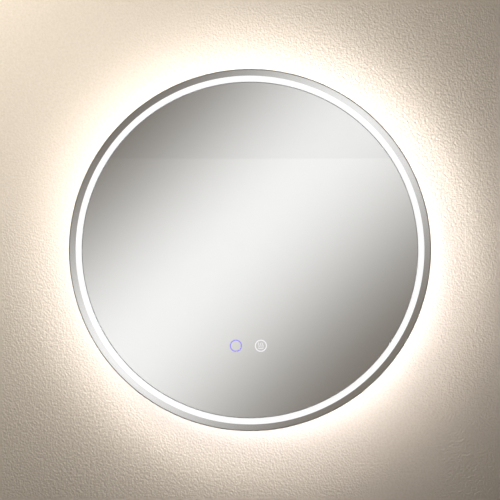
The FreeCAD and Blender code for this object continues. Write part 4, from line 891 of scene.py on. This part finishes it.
# %% [markdown]
# ## Screws
#
# The pan-head screws differ only in length, so one tree makes them all. A cylinder is drawn in towards its
# top for the head, two crossed blocks cut the driver's recess, and a triangle swept along a spiral winds
# the thread. The tree puts one screw on each point that it is given. Those points are read from the model:
# each screw there is a solid of its own, so its middle is the middle of one connected lump of the mesh.

# %% Find the middle of each solid of a node
def solids_of(node):
    """The (low, high) corners of every connected lump of a node's mesh."""
    lump = bmesh.new()
    lump.from_mesh(frame["nodes"][node].data)
    bmesh.ops.remove_doubles(lump, verts=lump.verts, dist=WELD)
    boxes = []
    waiting = set(lump.verts)
    while waiting:
        front = [waiting.pop()]
        members = []
        while front:
            vertex = front.pop()
            members.append(vertex.co.copy())
            near = {edge.other_vert(vertex) for edge in vertex.link_edges} & waiting
            waiting -= near
            front.extend(near)
        axes = list(zip(*members))
        boxes.append((Vector([min(axis) for axis in axes]), Vector([max(axis) for axis in axes])))
    lump.free()
    return sorted(boxes, key=lambda box: tuple(box[0]))


# %% The head
HEAD_SIDES = 32
HEAD_RINGS = 8
RIM_POWER = 4.0
RIM_DRAW = 0.25


def cylinder(tree, sides, radius, depth, middle, **more):
    """A cylinder along Z whose middle stands at a height."""
    inputs = {"Vertices": sides, "Radius": radius, "Depth": depth, **more}
    blank = result(tree, "GeometryNodeMeshCylinder", inputs)
    return moved(tree, blank, Translation=vector(tree, Z=middle))


def screw_head(tree, given):
    """A pan head from 0 up to its height, its rim drawn in as a power of the height."""
    height = given["Head Height"]
    middle = times(tree, height, 0.5)
    blank = cylinder(tree, HEAD_SIDES, given["Head Radius"], height, middle, **{"Side Segments": HEAD_RINGS})
    spot = result(tree, "GeometryNodeInputPosition")
    place = wire(tree, "ShaderNodeSeparateXYZ", {"Vector": spot}).outputs
    rise = calc(tree, "POWER", calc(tree, "DIVIDE", place["Z"], height), RIM_POWER)
    draw = times(tree, rise, -RIM_DRAW)
    return shifted(tree, blank, scaled(tree, vector(tree, X=place["X"], Y=place["Y"]), draw))


# %% The core and its thread
THREAD_STEPS = 20
RIDGE_SIDES = 3
RIDGE_SHARE = 0.4


def screw_thread(tree, given):
    """The core below 0 and the ridge that winds down it."""
    length = given["Length"]
    ridge = times(tree, given["Pitch"], RIDGE_SHARE)
    root = calc(tree, "SUBTRACT", given["Shank Radius"], ridge)
    turns = calc(tree, "DIVIDE", length, given["Pitch"])
    spiral = result(tree, "GeometryNodeCurveSpiral", {
        "Resolution": THREAD_STEPS, "Rotations": turns, "Start Radius": root, "End Radius": root,
        "Height": length})
    winding = sweep(tree, spiral, circle(tree, RIDGE_SIDES, ridge), capped=True)
    core = cylinder(tree, THREAD_STEPS, root, length, times(tree, length, -0.5))
    foot = vector(tree, Z=times(tree, length, -1.0))
    return core, moved(tree, winding, Translation=foot)


# %% Cut the recess, join the screw and set it out
def recess_blocks(tree, given):
    """Two crossed blocks, sunk into the top of the head."""
    deep = times(tree, given["Recess Depth"], 2.0)
    top = vector(tree, Z=given["Head Height"])
    blocks = []
    for across, along in (("Recess Span", "Recess Width"), ("Recess Width", "Recess Span")):
        sides = vector(tree, X=given[across], Y=given[along], Z=deep)
        block = result(tree, "GeometryNodeMeshCube", {"Size": sides})
        blocks.append(moved(tree, block, Translation=top))
    return blocks


def screw_tree():
    tree, given = new_tree("screws_on_points", (
        "Float", "Head Radius", "Head Height", "Shank Radius", "Length", "Pitch",
        "Recess Span", "Recess Width", "Recess Depth"))
    solids = {"Mesh 1": screw_head(tree, given), "Mesh 2": recess_blocks(tree, given)}
    head = result(tree, "GeometryNodeMeshBoolean", solids, operation="DIFFERENCE", solver="EXACT")
    screw = result(tree, "GeometryNodeJoinGeometry", {"Geometry": [head, *screw_thread(tree, given)]})
    facing_wall = moved(tree, screw, Rotation=UP_TO_WALL)
    return end_tree(tree, on_points(tree, given["Geometry"], facing_wall), given["Finish"])


SCREWS = screw_tree()
print("screw tree has", len(SCREWS.nodes), "nodes")

# %% Set the screws of each group
HEAD_HEIGHT = 2.2 * MM
SCREW_SIZES = {
    "Head Height": HEAD_HEIGHT, "Shank Radius": 2.0 * MM, "Pitch": 0.7 * MM,
    "Recess Span": 4.8 * MM, "Recess Width": 1.2 * MM, "Recess Depth": 1.2 * MM}


def set_screws(node):
    """Makes a node's screws again, each where its solid is, as one piece."""
    boxes = solids_of(node)
    low, high = boxes[0]
    seats = [((a.x + b.x) / 2, b.y - HEAD_HEIGHT, (a.z + b.z) / 2) for a, b in boxes]
    source = empty_source(node + "_seats")
    source.data.from_pydata(seats, [], [])
    run_tree(source, SCREWS, {
        **SCREW_SIZES, "Head Radius": (high.x - low.x) / 2, "Length": high.y - low.y - HEAD_HEIGHT,
        "Finish": FINISHES["screw_steel"]})
    return plain_piece(source, node + "_threaded", "screw_steel", replaces=[node])


for group in ("panel_screws", "service_screws", "hanger_screws", "driver_screws", "earth_screw"):
    set_screws(group)

# %% [markdown]
# ## Rolled edges of the vents
#
# A punch leaves a sharp edge in sheet steel, so vents are rolled over afterwards. Each slot's edge becomes a
# low round bead: a rectangle whose corners are filleted until its ends are round, swept with a small circle,
# and set out in two rows.

# %% Build the vent tree
BEAD_SIDES = 8
END_STEPS = 10
NEARLY_HALF = 0.499
UPRIGHT = (math.radians(90), 0, 0)


def vent_tree():
    tree, given = new_tree("rolled_slot_edges", ("Float", "Length", "Width", "Bead"), ("Int", "Count"),
                           ("Float", "Pitch"), ("Vector", "Start"))
    edge = rectangle(tree, given["Width"], given["Length"])
    corner = times(tree, given["Width"], NEARLY_HALF)
    filleting = {"Curve": edge, "Count": END_STEPS, "Radius": corner, "Limit Radius": True}
    rounded = result(tree, "GeometryNodeFilletCurve", filleting, mode="POLY")
    bead = moved(tree, sweep(tree, rounded, circle(tree, BEAD_SIDES, given["Bead"])), Rotation=UPRIGHT)
    step = vector(tree, X=given["Pitch"])
    line = {"Count": given["Count"], "Start Location": given["Start"], "Offset": step}
    row = result(tree, "GeometryNodeMeshLine", line)
    return end_tree(tree, on_points(tree, row, bead), given["Finish"])


VENTS = vent_tree()
print("vent tree has", len(VENTS.nodes), "nodes")

# %% Roll the edges of both rows
VENT_COUNT = 9
VENT_PITCH = 10 * MM
VENT_LENGTH = 24 * MM
VENT_WIDTH = 3 * MM
VENT_OUT = 221.5 * MM
BEAD = 0.55 * MM

panel_back = -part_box("back_panel")[1].y
for row, up in (("high", CENTRE_UP + VENT_OUT), ("low", CENTRE_UP - VENT_OUT)):
    first = on_wall(-(VENT_COUNT - 1) * VENT_PITCH / 2, panel_back, up)
    edges = run_tree(empty_source("edges_" + row), VENTS, {
        "Length": VENT_LENGTH + BEAD, "Width": VENT_WIDTH + BEAD, "Bead": BEAD, "Count": VENT_COUNT,
        "Pitch": VENT_PITCH, "Start": first, "Finish": FINISHES["coated_steel"]})
    plain_piece(edges, "vent_edges_" + row, "coated_steel")

# %% [markdown]
# ## Stage, light and camera
#
# The mirror hangs on a plain pale wall, over a plain pale floor. The wall has to disappear when the camera
# goes behind it, so its material is clear to camera rays that meet its back, and clear to shadow rays, which
# lets the lamps behind it light the back of the case.

# %% Paint for the wall
PLASTER_SIZE = 0.0034
PLASTER_DEPTH = 0.00075


def wall_paint():
    """Warm pale paint over rough plaster, with painted shade in its hollows, seen only from the room's side.
    """
    paint = finish("pale_wall", (0.50, 0.425, 0.335), 0.9)
    tree = paint.node_tree
    plaster = object_noise(tree, PLASTER_SIZE, detail=2.0)
    # Painted shade: where the plaster noise is low, in its hollows, the paint gets a darker tone.
    tone = blend(tree, from_noise(tree, plaster, 0, 1), (0.475, 0.40, 0.312), (0.525, 0.446, 0.352))
    feed(paint, "Base Color", tone)
    relief(paint, plaster, PLASTER_DEPTH)
    shadow = wire(tree, "ShaderNodeLightPath").outputs["Is Shadow Ray"]
    behind = wire(tree, "ShaderNodeNewGeometry").outputs["Backfacing"]
    passing = calc(tree, "MAXIMUM", behind, shadow)
    clear = result(tree, "ShaderNodeBsdfTransparent")
    mixed = result(tree, "ShaderNodeMixShader", {0: passing, 1: shader_of(paint).outputs["BSDF"], 2: clear})
    tree.links.new(mixed, tree.nodes["Material Output"].inputs["Surface"])
    return paint


# %% Wall and floor
WALL_GAP = 0.6 * MM
WALL_HALF = 1.25
FLOOR_HALF = 250.0
FLOOR_UP = CENTRE_UP - WALL_HALF
CORNERS = [(-1, -1), (1, -1), (1, 1), (-1, 1)]


def flat_stage(name, corners, material):
    mesh = bpy.data.meshes.new(name)
    mesh.from_pydata(corners, [], [(0, 1, 2, 3)])
    mesh.materials.append(material)
    ground = put(name, mesh)
    return ground


wall_corners = [on_wall(x * WALL_HALF, -WALL_GAP, CENTRE_UP + z * WALL_HALF) for x, z in CORNERS]
flat_stage("wall", wall_corners, wall_paint())
floor_corners = [(x * FLOOR_HALF, y * FLOOR_HALF, FLOOR_UP) for x, y in CORNERS]
floor_paint = grain(finish("pale_floor", (0.88, 0.87, 0.85), 0.7), 0.01, 0.0005)
floor = flat_stage("floor", floor_corners, floor_paint)
floor.visible_glossy = False
floor.visible_transmission = False
floor.visible_diffuse = False

# %% [markdown]
# A mirror looks like what it reflects. For reflected rays the world therefore holds a broad diagonal sheen,
# a cosine of the ray's direction that runs from bright to dim and back, and a faint level edge as of a
# ceiling. Camera rays see plain white, and all other rays get a plain soft light.

# %% The sheen that the mirror reflects
SHEEN_START = -0.0153
SHEEN_PERIOD_LEFT = 0.305
SHEEN_PERIOD_RIGHT = 0.347
SHEEN_DARK = (0.205, 0.182, 0.158)
SHEEN_LIGHT = (0.955, 0.95, 0.945)
CEILING_SLOPE = 0.0775
CEILING_BLUR = 0.001
CEILING_TONE = 0.94


def background(tree, color, strength):
    return result(tree, "ShaderNodeBackground", {"Color": color, "Strength": strength})


def sheen(tree, ray, up):
    """A diagonal cosine of the ray's direction, a little dimmer above the ceiling's edge."""
    slant = dot(tree, ray, tuple(Vector((1, 0, -1)).normalized()))
    away = calc(tree, "SUBTRACT", slant, SHEEN_START)
    on_left = calc(tree, "LESS_THAN", away, 0.0)
    pace = ranged(tree, on_left, 0, 1, 2 * math.pi / SHEEN_PERIOD_RIGHT, 2 * math.pi / SHEEN_PERIOD_LEFT)
    wave = calc(tree, "COSINE", times(tree, away, pace))
    color = ramp(tree, ranged(tree, wave, -1, 1, 0, 1), (0, SHEEN_DARK), (1, SHEEN_LIGHT))
    ceiling = ranged(tree, up, CEILING_SLOPE - CEILING_BLUR, CEILING_SLOPE, 1, CEILING_TONE)
    return background(tree, color, ceiling)


# %% The world
LIGHT_FROM_ROOM = 0.05
LIGHT_FROM_BEHIND = 0.85
LIGHT_COLOR = (1, 0.93, 0.82, 1)
BEHIND_FROM = 0.3


def studio_world():
    world = bpy.data.worlds.new("studio")
    scene.world = world
    world.use_nodes = True
    tree = world.node_tree
    tree.nodes.clear()
    ray = wire(tree, "ShaderNodeTexCoord").outputs["Generated"]
    direction = wire(tree, "ShaderNodeSeparateXYZ", {"Vector": ray}).outputs
    plain = ranged(tree, direction["Y"], 0, BEHIND_FROM, LIGHT_FROM_ROOM, LIGHT_FROM_BEHIND)
    soft = background(tree, LIGHT_COLOR, plain)
    white = background(tree, (1, 1, 1, 1), 1.0)
    rays = wire(tree, "ShaderNodeLightPath").outputs
    glossy = sheen(tree, ray, direction["Z"])
    reflected = result(tree, "ShaderNodeMixShader", {0: rays["Is Glossy Ray"], 1: soft, 2: glossy})
    seen = result(tree, "ShaderNodeMixShader", {0: rays["Is Camera Ray"], 1: reflected, 2: white})
    wire(tree, "ShaderNodeOutputWorld", {"Surface": seen})


studio_world()
print("sheen periods", SHEEN_PERIOD_LEFT, SHEEN_PERIOD_RIGHT, "light from behind", LIGHT_FROM_BEHIND)

# %% [markdown]
# The wall is brightest at the upper left and falls off from there, as under a lamp that stands high and
# near. A soft bulb does that, and its slanting light brings out the plaster. Two large lamps behind light
# the back of the case. The bulb is hidden from reflections, so that it never shows as a patch in the mirror.

# %% Lamps
BULB_PLACE = (-0.80, -0.72, CENTRE_UP + 0.80)
BULB_SIZE = 0.4
BULB_POWER = 78
BULB_COLOR = (0.98, 1.0, 1.03)
BACK_LAMPS = {
    "back_lamp_high": ((0.9, 1.9, 1.4), 1.4, 50),
    "back_lamp_low": ((-2.1, 1.1, -0.9), 1.0, 21),
}


def add_lamp(name, kind, place, size, power, color=(1, 1, 1)):
    """A lamp that faces the mirror's middle and is hidden from the camera."""
    lamp = bpy.data.lights.new(name, kind)
    lamp.energy = power
    lamp.color = color
    if kind == "AREA":
        lamp.shape = "DISK"
        lamp.size = size
    else:
        lamp.shadow_soft_size = size / 2
    holder = put(name, lamp)
    holder.location = place
    holder.rotation_mode = "QUATERNION"
    holder.rotation_quaternion = (Vector((0, 0, CENTRE_UP)) - Vector(place)).to_track_quat("-Z", "Y")
    holder.visible_camera = False
    return holder


bulb = add_lamp("bulb_high_left", "POINT", BULB_PLACE, BULB_SIZE, BULB_POWER, BULB_COLOR)
bulb.visible_glossy = False
for name, (place, size, power) in BACK_LAMPS.items():
    add_lamp(name, "AREA", place, size, power)
bulb_away = (Vector(BULB_PLACE) - on_wall(0, 0, CENTRE_UP)).length
print(f"bulb of {BULB_POWER} W, {bulb_away:.2f} m from the mirror's middle")

# %% [markdown]
# Thin opal spreads the light of its lamps only in part. The rest leaves as a beam, square to the wall of the
# ring, and carries the halo far out over the plaster. A shader can't throw a beam without much noise, so
# small flat lamps with a narrow spread lie on the ring and do it. They are children of the ring, move with
# it, and are hidden from the camera and from reflections.

# %% The beam of the opal ring
BEAM_LAMPS = 120
BEAM_POWER = 0.0179
BEAM_SPREAD = math.radians(62)
BEAM_COLOR = (0.97, 0.985, 1.04)
BEAM_GAP = 0.3 * MM
BEAM_LENGTH = 2 * math.pi * OPAL_OUTER / BEAM_LAMPS
BEAM_HEIGHT = OPAL_FRONT - OPAL_REAR - 2 * OPAL_ROUND

for i in range(BEAM_LAMPS):
    around = 2 * math.pi * i / BEAM_LAMPS
    outwards = Vector((math.cos(around), 0, math.sin(around)))
    spot = on_wall(0, (OPAL_REAR + OPAL_FRONT) / 2, CENTRE_UP) + outwards * (OPAL_OUTER + BEAM_GAP)
    power = BEAM_POWER * (1 + SIDE_SWING * math.cos(around + SIDE_TURN))
    beam = add_lamp(f"beam_{i:03d}", "AREA", spot, BEAM_LENGTH, power, BEAM_COLOR)
    beam.data.shape = "RECTANGLE"
    beam.data.size_y = BEAM_HEIGHT
    beam.data.spread = BEAM_SPREAD
    axes = Matrix(((-outwards.z, 0, outwards.x), (0, 1, 0), -outwards)).transposed()
    beam.rotation_quaternion = axes.to_quaternion()
    beam.visible_glossy = False
    beam.visible_transmission = False
    beam.parent = opal_ring
print(BEAM_LAMPS, "beam lamps round the ring")

# %% [markdown]
# The photograph looks straight at the mirror. At 600 mm across, its frame is about 827 mm wide, and a long
# lens at a matching distance keeps the circle true.

# %% Camera
PHOTO_WIDTH = 500
MIRROR_WIDTH_IN_PHOTO = 362.6
LENS = 85.0
SENSOR = 36.0

frame_width = 2 * RADIUS * PHOTO_WIDTH / MIRROR_WIDTH_IN_PHOTO
camera_data = bpy.data.cameras.new("camera")
camera_data.lens = LENS
camera_data.sensor_width = SENSOR
camera = put("camera", camera_data)
camera.location = on_wall(0, FRONT + frame_width * LENS / SENSOR, CENTRE_UP)
camera.rotation_euler = (math.radians(90), 0, 0)
scene.camera = camera
scene.view_settings.view_transform = "Standard"
print(f"camera {-camera.location.y:.3f} m from the wall, frame {frame_width / MM:.0f} mm wide")
